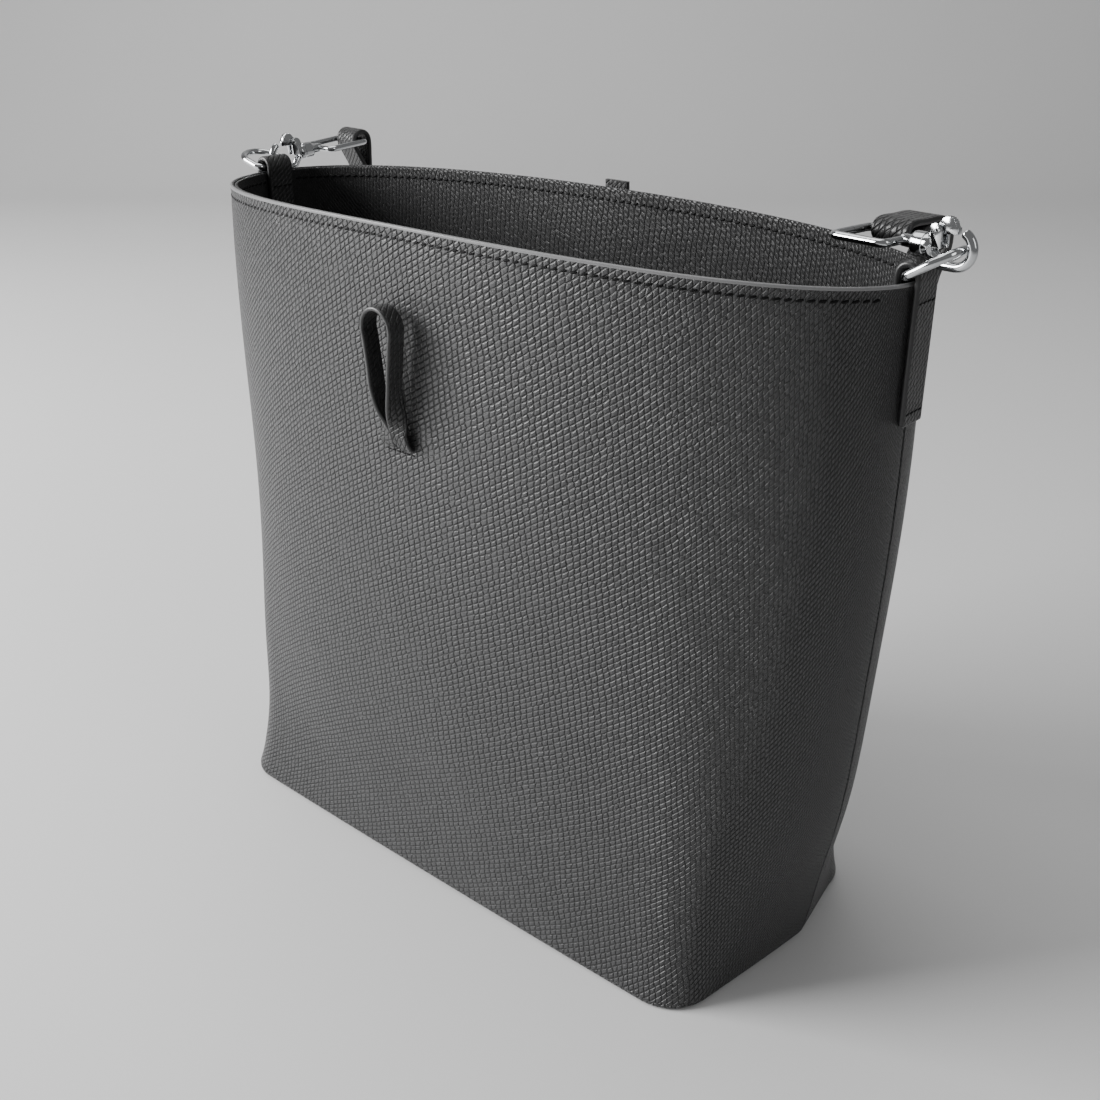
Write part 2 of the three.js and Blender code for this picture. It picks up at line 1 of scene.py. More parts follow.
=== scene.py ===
# A black grained-leather shoulder bag: mouth, closure loop, toggle, tabs, D-rings, hooks and strap.
# Metres, +Z up, front towards -Y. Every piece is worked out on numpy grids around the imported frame.
import bmesh
import bpy
import json
import numpy as np
from mathutils import Matrix, Vector


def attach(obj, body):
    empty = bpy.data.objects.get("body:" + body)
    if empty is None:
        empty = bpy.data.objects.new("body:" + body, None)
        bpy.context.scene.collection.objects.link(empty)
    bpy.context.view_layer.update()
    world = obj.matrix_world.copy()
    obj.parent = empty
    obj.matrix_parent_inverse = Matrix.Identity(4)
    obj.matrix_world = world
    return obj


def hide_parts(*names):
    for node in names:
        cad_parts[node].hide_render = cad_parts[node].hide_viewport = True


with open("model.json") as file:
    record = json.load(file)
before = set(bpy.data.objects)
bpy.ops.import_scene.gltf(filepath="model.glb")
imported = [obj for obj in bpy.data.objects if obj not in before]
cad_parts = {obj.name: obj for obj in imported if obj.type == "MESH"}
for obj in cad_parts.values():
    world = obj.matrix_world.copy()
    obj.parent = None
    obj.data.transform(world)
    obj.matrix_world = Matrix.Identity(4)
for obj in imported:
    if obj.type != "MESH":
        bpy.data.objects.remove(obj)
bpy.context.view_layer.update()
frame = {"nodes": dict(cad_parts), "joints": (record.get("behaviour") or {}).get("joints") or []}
joints = {joint["name"]: joint for joint in frame["joints"]}
print("frame loaded:", len(frame["nodes"]), "nodes")


# A shader value. Its operators add Math nodes, so that an expression such as 1 - mask works.
class Signal:
    def __init__(self, shop, node, output=0):
        self.shop, self.node, self.socket = shop, node, node.outputs[output]

    def out(self, output):
        return Signal(self.shop, self.node, output)

    def join(self, operation, first, second):
        return self.shop.add("Math", {"operation": operation}, {0: first, 1: second})

    def __add__(self, other):
        return self.join("ADD", self, other)

    def __radd__(self, other):
        return self.join("ADD", other, self)

    def __sub__(self, other):
        return self.join("SUBTRACT", self, other)

    def __rsub__(self, other):
        return self.join("SUBTRACT", other, self)

    def __mul__(self, other):
        return self.join("MULTIPLY", self, other)

    def __rmul__(self, other):
        return self.join("MULTIPLY", other, self)

    def __truediv__(self, other):
        return self.join("DIVIDE", self, other)

    def __pow__(self, other):
        return self.join("POWER", self, other)


# One material and its nodes.
class Finish:
    def __init__(self, name, plain, **fixed):
        self.material = bpy.data.materials.new(name)
        self.material.use_nodes = True
        self.material.diffuse_color = (*plain, 1)
        self.nodes = self.material.node_tree.nodes
        self.links = self.material.node_tree.links
        self.shader = self.nodes["Principled BSDF"]
        for socket, value in fixed.items():
            self.shader.inputs[socket.replace("_", " ")].default_value = value

    # Adds a node: its settings first, then the values or links of its sockets.
    def add(self, kind, settings, inputs, output=0):
        node = self.nodes.new("ShaderNode" + kind)
        for key, value in settings.items():
            if key == "stops":
                self.fillRamp(node.color_ramp, value)
            else:
                setattr(node, key, value)
        for key, value in inputs.items():
            if isinstance(value, Signal):
                self.links.new(value.socket, node.inputs[key])
            else:
                node.inputs[key].default_value = value
        return Signal(self, node, output)

    def fillRamp(self, ramp, stops):
        while len(ramp.elements) < len(stops):
            ramp.elements.new(0.5)
        for element, (place, value) in zip(ramp.elements, stops):
            element.position = place
            element.color = (*value, 1) if hasattr(value, "__len__") else (value, value, value, 1)

    def ramp(self, value, stops):
        return self.add("ValToRGB", {"stops": stops}, {"Fac": value})

    def noise(self, place, scale, detail=2.0, rough=0.5):
        return self.add("TexNoise", {}, {"Vector": place, "Scale": scale, "Detail": detail,
                                         "Roughness": rough})

    def mixColour(self, share, first, second):
        return self.add("Mix", {"data_type": "RGBA"}, {0: share, 6: first, 7: second}, 2)

    def bump(self, height, depth, strength=1.0, under=None):
        inputs = {"Height": height, "Distance": depth, "Strength": strength}
        if under is not None:
            inputs["Normal"] = under
        return self.add("Bump", {}, inputs)

    def feed(self, **signals):
        for socket, signal in signals.items():
            self.links.new(signal.socket, self.shader.inputs[socket.replace("_", " ")])
        return self.material


# Leather grain, with u along a piece and v up it in metres. One family of creases runs up to the right and a
# weaker one runs upright: a = (u, v) . slant and b = (u, v) . cross, in creases per metre. The cells are a
# loose Voronoi in (a, b), and |cos(pi (a - loose / 2))| deepens the slanted creases.
grain = {"slant": (-350.0, 440.0), "cross": (470.0, 30.0), "wander": 0.7, "loose": 0.34, "density": 500.0}


def grainSignals(finish):
    place = finish.add("UVMap", {"uv_map": "flat"}, {})
    size = grain["density"]
    drift = finish.noise(place, size * 0.09, 2.0).out("Color")
    drift = finish.add("VectorMath", {"operation": "SUBTRACT"}, {0: drift, 1: (0.5, 0.5, 0.5)})
    wavy = finish.add("VectorMath", {"operation": "SCALE"}, {0: drift, "Scale": grain["wander"] / size})
    wavy = finish.add("VectorMath", {"operation": "ADD"}, {0: place, 1: wavy})
    parts = finish.add("SeparateXYZ", {}, {0: wavy})
    u, v = parts.out("X"), parts.out("Y")
    a = u * grain["slant"][0] + v * grain["slant"][1]
    b = u * grain["cross"][0] + v * grain["cross"][1]
    cells = finish.add("CombineXYZ", {}, {"X": a, "Y": b})
    edge = finish.add("TexVoronoi", {"feature": "DISTANCE_TO_EDGE", "voronoi_dimensions": "2D"},
                      {"Vector": cells, "Scale": 1.0, "Randomness": grain["loose"]})
    cell = finish.add("TexVoronoi", {"feature": "F1", "voronoi_dimensions": "2D"},
                      {"Vector": cells, "Scale": 1.0, "Randomness": grain["loose"]}).out("Color")
    cellValue = finish.add("SeparateColor", {}, {0: cell})
    wave = finish.add("Math", {"operation": "COSINE"},
                      {0: a * float(np.pi) - float(np.pi) * grain["loose"] / 2})
    furrow = finish.ramp(finish.add("Math", {"operation": "ABSOLUTE"}, {0: wave}),
                         [(0.0, 0.0), (0.22, 0.45), (0.5, 1.0)])
    # creases falls to 0 along the crease lines, deepest on the slanted ones; leatherFinish paints shade
    # there.
    creases = finish.ramp(edge, [(0.0, 0.0), (0.07, 0.3), (0.19, 1.0)]) * (furrow * 0.75 + 0.25)
    dome = finish.ramp(edge, [(0.0, 0.0), (0.1, 0.7), (0.24, 0.95), (0.5, 1.0)])
    pores = finish.noise(place, size * 3.0, 3.0, 0.6)
    height = dome * 0.5 + furrow * 0.42 + pores * 0.14 + cellValue * 0.1
    return place, height, creases, cellValue, pores


# Leather: lighter cells between near-black creases, whose darkness is painted shade; both shift slowly over
# the hide.
# Colour = low + tone (high - low).
def leatherFinish(name, colour, depth, roughness):
    finish = Finish(name, colour, Specular_IOR_Level=0.5, IOR=1.5, Sheen_Weight=0.06, Sheen_Roughness=0.45)
    place, height, creases, cellValue, pores = grainSignals(finish)
    # low, at 3 % of the colour, is the painted shade in the creases, where tone falls to 0.
    low = [c * 0.03 for c in colour] + [1]
    high = [c * 1.75 for c in colour] + [1]
    cloud = finish.noise(place, 9.0, 3.0, 0.55)
    tone = creases * (0.72 + cellValue * 0.28) * (0.8 + cloud * 0.4)
    shade = finish.mixColour(tone, low, high)
    gloss = roughness + 0.16 - creases * 0.16 + (pores - 0.5) * 0.14 + (cloud - 0.5) * 0.1
    return finish.feed(Base_Color=shade, Roughness=gloss, Normal=finish.bump(height, depth))


# Painted edge: a smooth coat over cut leather, with faint ripples along it.
def edgeFinish(name, colour, roughness):
    finish = Finish(name, colour, Specular_IOR_Level=0.55, IOR=1.5)
    place = finish.add("TexCoord", {}, {}, "Object")
    ripple = finish.noise(place, 900.0, 3.0, 0.6)
    cloud = finish.noise(place, 60.0, 2.0)
    shade = finish.mixColour(cloud, [c * 0.8 for c in colour] + [1], [c * 1.2 for c in colour] + [1])
    return finish.feed(Base_Color=shade, Roughness=roughness + (ripple - 0.5) * 0.2,
                       Normal=finish.bump(ripple, 0.00004, 0.8))


# Twisted thread: light and dark bands slanting round each stitch, a painted highlight on each strand and
# painted shade between them, over a bump of the same twist.
def threadFinish(name, colour):
    finish = Finish(name, colour, Specular_IOR_Level=0.15, Sheen_Weight=0.03, Sheen_Roughness=0.4)
    place = finish.add("UVMap", {"uv_map": "flat"}, {})
    parts = finish.add("SeparateXYZ", {}, {0: place})
    twist = finish.add("Math", {"operation": "SINE"}, {0: parts.out("X") * 9000.0 + parts.out("Y") * 3000.0})
    lift = twist * 0.5 + 0.5
    shade = finish.mixColour(lift, [c * 0.5 for c in colour] + [1], [c * 1.4 for c in colour] + [1])
    return finish.feed(Base_Color=shade, Roughness=0.62 + lift * 0.1, Normal=finish.bump(lift, 0.00005))


# Plated metal: bright, with hazy patches and fine rubbed lines.
def metalFinish(name, colour, roughness, haze, lines):
    finish = Finish(name, colour, Metallic=1.0)
    place = finish.add("TexCoord", {}, {}, "Object")
    patches = finish.noise(place, 140.0, 3.0, 0.6)
    stretched = finish.add("Mapping", {}, {"Vector": place, "Scale": (1.0, 1.0, 7.0)})
    rubbed = finish.noise(stretched, 1600.0, 2.0, 0.7)
    shade = finish.mixColour(patches, [c * 0.9 for c in colour] + [1],
                             [min(c * 1.06, 1) for c in colour] + [1])
    gloss = roughness + (patches - 0.4) * haze + (rubbed - 0.5) * haze * 0.6
    return finish.feed(Base_Color=shade, Roughness=finish.add("Clamp", {}, {"Value": gloss, "Min": 0.03,
                                                                            "Max": 0.7}),
                       Normal=finish.bump(rubbed, lines, 0.5))


def toggleFinish(name, colour):
    finish = Finish(name, colour, Specular_IOR_Level=0.5, Coat_Weight=0.4, Coat_Roughness=0.12)
    place = finish.add("TexCoord", {}, {}, "Object")
    streaks = finish.add("Mapping", {}, {"Vector": place, "Scale": (0.12, 1.0, 1.0)})
    flow = finish.noise(streaks, 420.0, 4.0, 0.6)
    shade = finish.mixColour(flow, [c * 0.6 for c in colour] + [1], [c * 2.2 for c in colour] + [1])
    return finish.feed(Base_Color=shade, Roughness=0.2 + flow * 0.16, Normal=finish.bump(flow, 0.00006, 0.6))


def boardFinish(name, colour):
    finish = Finish(name, colour)
    place = finish.add("TexCoord", {}, {}, "Object")
    fibres = finish.noise(finish.add("Mapping", {}, {"Vector": place, "Scale": (1.0, 3.5, 1.0)}), 700.0, 4.0,
                          0.7)
    shade = finish.mixColour(fibres, [c * 0.6 for c in colour] + [1], [c * 1.7 for c in colour] + [1])
    return finish.feed(Base_Color=shade, Roughness=0.8 + fibres * 0.15, Normal=finish.bump(fibres, 0.0001))


leather = leatherFinish("body leather", (0.028, 0.028, 0.029), 0.00105, 0.34)
innerLeather = leatherFinish("lining leather", (0.0135, 0.0135, 0.014), 0.0009, 0.4)
# The strap leather is the body leather darkened to about 0.6 of its colour: painted shade for the deep shade
# on the tabs.
shadedStrapLeather = leatherFinish("strap leather", (0.0175, 0.0175, 0.018), 0.0007, 0.38)
# The rim's edge paint at 0.2 is partly its own grey coat and partly a painted highlight along the outer top
# corner.
paint = edgeFinish("edge paint", (0.2, 0.2, 0.203), 0.34)
strapPaint = edgeFinish("strap edge paint", (0.016, 0.016, 0.0165), 0.36)
# The thread's near-black colour is partly its own and partly painted shade standing for the dark stitch
# holes.
thread = threadFinish("stitching thread", (0.003, 0.003, 0.0032))
chrome = metalFinish("polished plating", (0.56, 0.57, 0.58), 0.07, 0.1, 0.00001)
springSteel = metalFinish("drawn spring wire", (0.5, 0.5, 0.52), 0.3, 0.2, 0.00004)
toggleGloss = toggleFinish("toggle gloss", (0.007, 0.007, 0.008))
fibreBoard = boardFinish("fibre board", (0.05, 0.045, 0.038))
print("finishes made")


def unit(vectors):
    vectors = np.asarray(vectors, float)
    return vectors / np.maximum(np.linalg.norm(vectors, axis=-1, keepdims=True), 1e-12)


def ease(value):
    t = np.clip(value, 0, 1)
    return t * t * (3 - 2 * t)


def spaceBy(points, shares):
    # Points at the given shares of a line's length.
    steps = np.linalg.norm(np.diff(points, axis=0), axis=1)
    run = np.concatenate([[0], np.cumsum(steps)])
    return np.stack([np.interp(np.asarray(shares) * run[-1], run,
                               points[:, axis]) for axis in range(points.shape[1])], -1)


def smoothLine(points, spacing):
    # A cubic through every point: tangents are the slopes between neighbours, measured along the line.
    run = np.concatenate([[0], np.cumsum(np.linalg.norm(np.diff(points[:, :3], axis=0), axis=1))])
    slope = np.gradient(points, run, axis=0)
    at = np.linspace(0, run[-1], max(int(run[-1] / spacing), 4) + 1)
    k = np.clip(np.searchsorted(run, at, side="right") - 1, 0, len(run) - 2)
    step = (run[k + 1] - run[k])[:, None]
    t = (at - run[k])[:, None] / step
    return ((2 * t**3 - 3 * t**2 + 1) * points[k] + (t**3 - 2 * t**2 + t) * step * slope[k]
            + (3 * t**2 - 2 * t**3) * points[k + 1] + (t**3 - t**2) * step * slope[k + 1])


def arc(middle, radius, start, end, count):
    angle = np.radians(np.linspace(start, end, count))
    return np.stack([middle[0] + radius * np.cos(angle), middle[1] + radius * np.sin(angle)], -1)


def addSurface(name, grids, body, finishes, flats=None, painted=None, node=None, sharp=38):
    # Joins (rows, columns, 3) grids into one mesh with quads between neighbours. Doubled points at a grid's
    # closing line and poles are merged, and the faces are turned outwards.
    points, quads, maps, marks = [], [], [], []
    start = 0
    for number, grid in enumerate(grids):
        rows, columns = grid.shape[:2]
        index = start + np.arange(rows * columns).reshape(rows, columns)
        corners = [index[:-1, :-1], index[1:, :-1], index[1:, 1:], index[:-1, 1:]]
        quads.append(np.stack(corners, -1).reshape(-1, 4))
        points.append(grid.reshape(-1, 3))
        maps.append(flats[number].reshape(-1, 2) if flats else grid.reshape(-1, 3)[:, :2])
        marks.append(painted[number].ravel() if painted else np.zeros((rows - 1) * (columns - 1), int))
        start += rows * columns
    points, quads, maps, marks = (np.concatenate(part) for part in (points, quads, maps, marks))
    mesh = bpy.data.meshes.new(name)
    mesh.vertices.add(len(points))
    mesh.vertices.foreach_set("co", points.astype(np.float32).ravel())
    mesh.loops.add(quads.size)
    mesh.loops.foreach_set("vertex_index", quads.astype(np.int32).ravel())
    mesh.polygons.add(len(quads))
    mesh.polygons.foreach_set("loop_start", np.arange(0, quads.size, 4, dtype=np.int32))
    mesh.polygons.foreach_set("material_index", marks.astype(np.int32))
    mesh.uv_layers.new(name="flat").data.foreach_set("uv", maps[quads.ravel()].astype(np.float32).ravel())
    mesh.update(calc_edges=True)
    shape = bmesh.new()
    shape.from_mesh(mesh)
    bmesh.ops.remove_doubles(shape, verts=shape.verts, dist=2e-6)
    bmesh.ops.dissolve_degenerate(shape, edges=shape.edges, dist=1e-6)
    bmesh.ops.recalc_face_normals(shape, faces=shape.faces)
    shape.to_mesh(mesh)
    shape.free()
    mesh.shade_smooth()
    mesh.set_sharp_from_angle(angle=np.radians(sharp))
    for finish in finishes:
        mesh.materials.append(finish)
    piece = bpy.data.objects.new(name, mesh)
    bpy.context.scene.collection.objects.link(piece)
    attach(piece, body)
    if node:
        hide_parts(node)
    return piece


def band(width, thickness, round=0.45, flatSteps=8, roundSteps=6):
    # A flat strap's section: (across, out) round a rectangle with rounded edges, and which of its stretches
    # are painted edge.
    radius = thickness * round
    w, t = width / 2 - radius, thickness / 2 - radius
    corners = [((w, t), 0, 90), ((-w, t), 90, 180), ((-w, -t), 180, 270), ((w, -t), 270, 360)]
    turns = [arc(middle, radius, a, b, roundSteps) for middle, a, b in corners]
    runs = []
    for k in range(4):
        gapTo = turns[(k + 1) % 4][0]
        steps = flatSteps if k % 2 == 0 else 2
        between = np.linspace(turns[k][-1], gapTo, steps + 2)[1:-1]
        runs += [turns[k], between]
    outline = np.concatenate(runs + [turns[0][:1]])
    middles = (outline[1:] + outline[:-1]) / 2
    isEdge = (np.abs(middles[:, 0]) > width / 2 - radius * 0.75).astype(int)
    return outline, isEdge


def circle(radius, sides=20):
    return arc((0, 0), radius, 0, 360, sides + 1), np.zeros(sides, int)


def sweep(line, across, section, endRound=0.0):
    # Carries a section along a line: point = line + across * a + out * b, where across is squared to the
    # line's direction and out completes it. The ends shrink over a quarter turn and close on their middle.
    outline, isEdge = section
    along = unit(np.gradient(line, axis=0))
    across = np.broadcast_to(np.asarray(across, float), line.shape)
    across = unit(across - (across * along).sum(-1, keepdims=True) * along)
    out = np.cross(along, across)
    size = np.ones(len(line))
    turn = np.linspace(0, np.pi / 2, 5)
    reach = endRound * np.sin(turn[1:])
    half = np.abs(outline).max(0).min()
    shrink = 1 - (endRound / half) * (1 - np.cos(turn[1:])) if endRound else np.zeros(0)
    reach = reach if endRound else np.zeros(0)
    first = line[0] - along[0] * reach[::-1, None]
    last = line[-1] + along[-1] * reach[:, None]
    centre = np.concatenate([first[:1] if endRound else line[:1], first, line, last,
                             last[-1:] if endRound else line[-1:]])
    pad = len(first) + 1
    size = np.concatenate([[0], size[0] * shrink[::-1], size, size[-1] * shrink, [0]])
    a = np.concatenate([np.repeat(across[:1], pad, 0), across, np.repeat(across[-1:], pad, 0)])
    b = np.concatenate([np.repeat(out[:1], pad, 0), out, np.repeat(out[-1:], pad, 0)])
    grid = centre[:, None] + size[:, None, None] * (a[:, None] * outline[None, :, :1] + b[:, None]
                                                    * outline[None, :, 1:])
    run = np.concatenate([[0], np.cumsum(np.linalg.norm(np.diff(centre, axis=0), axis=1))])
    girth = np.concatenate([[0], np.cumsum(np.linalg.norm(np.diff(outline, axis=0), axis=1))])
    flat = np.stack(np.broadcast_arrays(girth[None, :], run[:, None]), -1)
    marks = np.broadcast_to(isEdge, (len(centre) - 1, len(isEdge))).copy()
    marks[:pad] = marks[:pad] | (1 if isEdge.any() else 0)
    marks[-pad:] = marks[-pad:] | (1 if isEdge.any() else 0)
    return grid, flat, marks


def beads(centres, along, out, length, radius, slant=0.0):
    # Stitches: x = length/2 sin(p), width = radius cos(p)^0.5, laid along a line and half sunk; a slant turns
    # each one a little across the row.
    p = np.linspace(-np.pi / 2, np.pi / 2, 7)
    q = np.linspace(0, 2 * np.pi, 7)
    x = length / 2 * np.sin(p)[:, None] + 0 * q
    y = radius * np.sqrt(np.clip(np.cos(p), 0, 1))[:, None] * np.cos(q)
    z = radius * 0.8 * np.sqrt(np.clip(np.cos(p), 0, 1))[:, None] * np.sin(q)
    along, out = unit(along), unit(out)
    across = unit(np.cross(out, along))
    lean = np.cos(slant) * along + np.sin(slant) * across
    side = unit(np.cross(out, lean))
    shape = (x[None, ..., None] * lean[:, None, None] + y[None, ..., None] * side[:, None, None]
             + z[None, ..., None] * out[:, None, None] + np.asarray(centres)[:, None, None])
    flat = np.stack([x, y], -1)
    return list(shape), [flat] * len(shape)


def addStitches(name, rows, body):
    grids, flats = [], []
    for row in rows:
        made = beads(*row)
        grids += made[0]
        flats += made[1]
    return addSurface(name, grids, body, [thread], flats, sharp=80)


# Body: the base outline below and the mouth outline above, blended by height.
bag = {"height": 0.28, "baseHalfLength": 0.1392, "baseFront": (0.0748, 0.0196), "baseBack": (0.057, 0.022),
       "sidePeak": 0.0055,
       "mouthHalfLength": 0.162, "frontBulge": 0.0812, "backBulge": 0.0423, "endForward": 0.0052,
       "endDrop": 0.0045,
       "frontRise": 0.0028, "frontPowers": (2.26, 1.83), "backPowers": (3.05, 2.59), "flareLow": 0.55,
       "flareLowBack": 1.0,
       "flareHigh": 1.48, "pinchDepth": 0.0019, "pinchHeight": 0.034, "pinchSpread": 0.028,
       "leather": 0.0016, "lining": 0.0012, "gap": 0.0003, "foldRadius": 0.0022, "hem": 0.008,
       "stitchBelowRim": 0.0046, "stitchPitch": 0.0036, "seamRound": 0.0022, "halfRun": 0.23}


def baseLine(side):
    length = bag["baseHalfLength"] - bag["sidePeak"]
    depth, radius = bag["baseFront"] if side < 0 else bag["baseBack"]
    leftTurn = arc((radius - length, radius - depth), radius, 180, 270, 40)
    rightTurn = arc((length - radius, radius - depth), radius, 270, 360, 40)
    ends = np.array([[-bag["baseHalfLength"], 0], [bag["baseHalfLength"], 0]])
    line = np.concatenate([ends[:1], leftTurn, rightTurn, ends[1:]])
    return line * [1, -side]


def mouthLine(side):
    along, across = bag["frontPowers"] if side < 0 else bag["backPowers"]
    bulge, rise = (bag["frontBulge"], bag["frontRise"]) if side < 0 else (bag["backBulge"], 0)
    c = -np.cos(np.linspace(0, np.pi, 2001))
    y = side * bulge * np.maximum(1 - np.abs(c) ** along, 0) ** (1 / across) - bag["endForward"] * c**2
    z = bag["height"] + rise * (1 - c**2) - bag["endDrop"] * c**2
    return np.stack([bag["mouthHalfLength"] * c, y, z], -1)


def wall(side, shares, heights):
    # Points (height, share, 3): base + blend (mouth - base), blend = 1 - (1 - t)^high (1 - t^low), pinched in
    # just above the base.
    spread = shares - 0.1 * np.sin(2 * np.pi * shares)
    base, mouth = spaceBy(baseLine(side), spread), spaceBy(mouthLine(side), spread)
    t = heights[:, None]
    middle = (0 if side < 0 else 1) * (1 - np.abs(2 * shares - 1))
    low = bag["flareLow"] + middle[None] * (bag["flareLowBack"] - bag["flareLow"])
    blend = 1 - (1 - t) ** bag["flareHigh"] * (1 - t**low)
    plan = (1 - blend)[..., None] * base[None] + blend[..., None] * mouth[None, :, :2]
    z = t * mouth[None, :, 2]
    pinch = bag["pinchDepth"] * np.exp(-(((z - bag["pinchHeight"]) / bag["pinchSpread"]) ** 2))
    reach = np.maximum(np.hypot(plan[..., 0], plan[..., 1]), 0.001)
    squeeze = 1 - pinch * np.minimum(z / 0.008, 1) / reach
    return np.concatenate([plan * squeeze[..., None], z[..., None]], -1)


def wallOut(points, side, shares):
    # Outward in plan: the run along the wall turned a quarter, easing to +-X at the side seams.
    along = np.gradient(points, axis=1)
    normal = unit(np.stack([-side * along[..., 1], side * along[..., 0], 0 * along[..., 0]], -1))
    fromEnd = np.minimum(shares, 1 - shares)
    hold = np.exp(-((fromEnd / 0.012) ** 2))[None, :, None]
    seam = np.where(shares < 0.5, -1.0, 1.0)[None, :, None] * np.array([1.0, 0, 0])
    return unit((1 - hold) * normal + hold * seam)


def unevenness(x, z):
    # Slow swells of hand-worked leather: a few long waves, none at the rim or the base.
    swell = (0.00045 * np.sin(31 * x + 17 * z + 0.6) + 0.00035 * np.sin(-19 * x + 43 * z + 2.1)
             + 0.00022 * np.sin(67 * x + 29 * z + 4.0))
    return swell * ease(z / 0.03) * ease((bag["height"] - z) / 0.03)


def panelGrid(side, outer, profile, shares, level):
    # profile rows are (height share, depth under the outer face, lift). Seam edges of the outer face roll in.
    heights, depth, lift = profile.T
    points = wall(side, shares, heights)
    normal = wallOut(points, side, shares)
    half = bag["halfRun"]
    fromSeam = np.minimum(shares, 1 - shares) * 2 * half
    roll = np.maximum(bag["seamRound"] - fromSeam, 0)
    roll = bag["seamRound"] - np.sqrt(bag["seamRound"] ** 2 - roll**2)
    face = np.clip(1 - (depth - outer) / bag["leather"], 0, 1)
    swell = unevenness(points[..., 0], points[..., 2])
    stitchZ = bag["height"] - bag["stitchBelowRim"]
    valley = 0.0005 * np.exp(-(((heights * bag["height"] - stitchZ) / 0.0016) ** 2)) * (face > 0.5)
    inward = depth[:, None] + roll[None] * face[:, None] - swell + valley[:, None] * level
    made = points - normal * inward[..., None]
    made[..., 2] += lift[:, None]
    seamGap = bag["gap"] / 2
    seamRows = np.minimum(shares, 1 - shares) < 1e-6
    made[:, seamRows, 1] = points[:, seamRows, 1] + side * seamGap
    u = (shares - 0.5) * 2 * half
    v = heights * bag["height"] + lift
    run = np.concatenate([[0], np.cumsum(np.hypot(np.diff(v), np.diff(depth)))])
    flat = np.stack(np.broadcast_arrays(u[None] * (0.93 + 0.07 * heights[:, None]), run[:, None]), -1)
    return made, flat


def rimTurn(thickness, outer, crown, drop, steps=9):
    # Half round over the top edge, from the outer face to the inner face.
    turn = np.linspace(0, np.pi, steps)
    depth = outer + thickness / 2 * (1 - np.cos(turn))
    lift = crown * np.sin(turn) ** 0.7 - crown - drop
    return np.stack([np.ones(steps), depth, lift], -1)


def plyProfile(outer, thickness, bottom, drop, folded):
    # Up the outer face, over the rim, down the inner face, and round the fold at the foot.
    height, fold = bag["height"], bag["foldRadius"]
    crown = 0.00045
    upper = np.linspace(0, 1, 96) ** 0.92
    foot = fold if folded else bottom
    face = foot / height + (1 - foot / height - 0.004) * upper
    outerRows = np.stack([face, np.full(96, outer), np.zeros(96)], -1)
    lip = np.array([[1, outer, -crown - drop]])
    rim = rimTurn(thickness, outer, crown, drop)
    innerFace = np.linspace(1 - 0.004, max(foot, bottom) / height, 40)
    innerRows = np.stack([innerFace, np.full(40, outer + thickness), np.zeros(40)], -1)
    parts = [outerRows, lip, rim, innerRows]
    if folded:
        turn = np.linspace(0, np.pi / 2, 7)
        inner = fold - thickness
        under = bag["hem"]
        innerTurn = np.stack([fold / height * np.ones(7) - inner * np.sin(turn) / height,
                              outer + thickness + inner * (1 - np.cos(turn)), np.zeros(7)], -1)
        hemTop = np.array([[thickness / height, outer + fold + under, 0],
                           [0.00015 / height, outer + fold + under, 0]])
        outerTurn = np.stack([(fold - fold * np.sin(turn[::-1])) / height + 0.0001 / height,
                              outer + fold * (1 - np.cos(turn[::-1])), np.zeros(7)], -1)
        parts += [innerTurn[1:], hemTop, outerTurn]
    profile = np.concatenate(parts)
    return np.concatenate([profile, profile[:1]]), len(outerRows), len(outerRows) + 1 + len(rim)


def closeEnds(grid, flat, marks):
    # Closes a shell's two end sections on their middles.
    first, last = grid[:, :1].mean(0, keepdims=True), grid[:, -1:].mean(0, keepdims=True)
    rows = len(grid)
    grid = np.concatenate([np.repeat(first, rows, 0), grid, np.repeat(last, rows, 0)], 1)
    flat = np.concatenate([flat[:, :1], flat, flat[:, -1:]], 1)
    marks = np.concatenate([marks[:, :1], marks, marks[:, -1:]], 1)
    return grid, flat, marks


panelShares = np.unique(np.concatenate([np.linspace(0, 1, 201), np.linspace(0, 0.02, 9),
                                        np.linspace(0.98, 1, 9)]))
for sideName, side in (("front", -1), ("back", 1)):
    for ply, outer, thickness, drop in (("panel", 0.0, bag["leather"], 0.0),
                                        ("lining", bag["leather"] + bag["gap"], bag["lining"], 0.0004)):
        isPanel = ply == "panel"
        profile, rimStart, rimEnd = plyProfile(outer, thickness, 0.0059, drop, isPanel)
        grid, flat = panelGrid(side, outer, profile, panelShares, 1.0 if isPanel else 0.0)
        # The marked outer half of the rim turn takes the light edge paint on the leather ply, partly a
        # painted highlight, and the dark edge paint on the lining.
        marks = np.zeros((grid.shape[0] - 1, grid.shape[1] - 1), int)
        marks[rimStart - 1:rimStart + (rimEnd - rimStart) // 2] = 1
        grid, flat, marks = closeEnds(grid, flat, marks)
        name = f"{sideName}_{ply}"
        finishes = [leather, paint] if isPanel else [innerLeather, strapPaint]
        piece = addSurface(name + "_leather", [grid], "bag", finishes,
                           [flat], [marks], name)
        print(piece.name, len(piece.data.polygons), "faces")


def wallSpot(side, x, z, depth=0.0):
    # Where the outer face is at a place across and up: nearest of a fine row of wall points.
    x, z = np.broadcast_arrays(np.asarray(x, float), np.asarray(z, float))
    shares = np.linspace(0, 1, 1201)
    found, normals = [], []
    for oneX, oneZ in zip(x.ravel(), z.ravel()):
        row = wall(side, shares, np.array([oneZ / bag["height"]]))
        normal = wallOut(row, side, shares)
        spot = [np.interp(oneX, row[0, :, 0], row[0, :, axis]) for axis in (1,)]
        out = np.array([np.interp(oneX, row[0, :, 0], normal[0, :, axis]) for axis in range(3)])
        swell = unevenness(oneX, oneZ)
        found.append(np.array([oneX, spot[0], oneZ]) + out * (swell - depth))
        normals.append(out)
    return np.array(found), unit(np.array(normals))


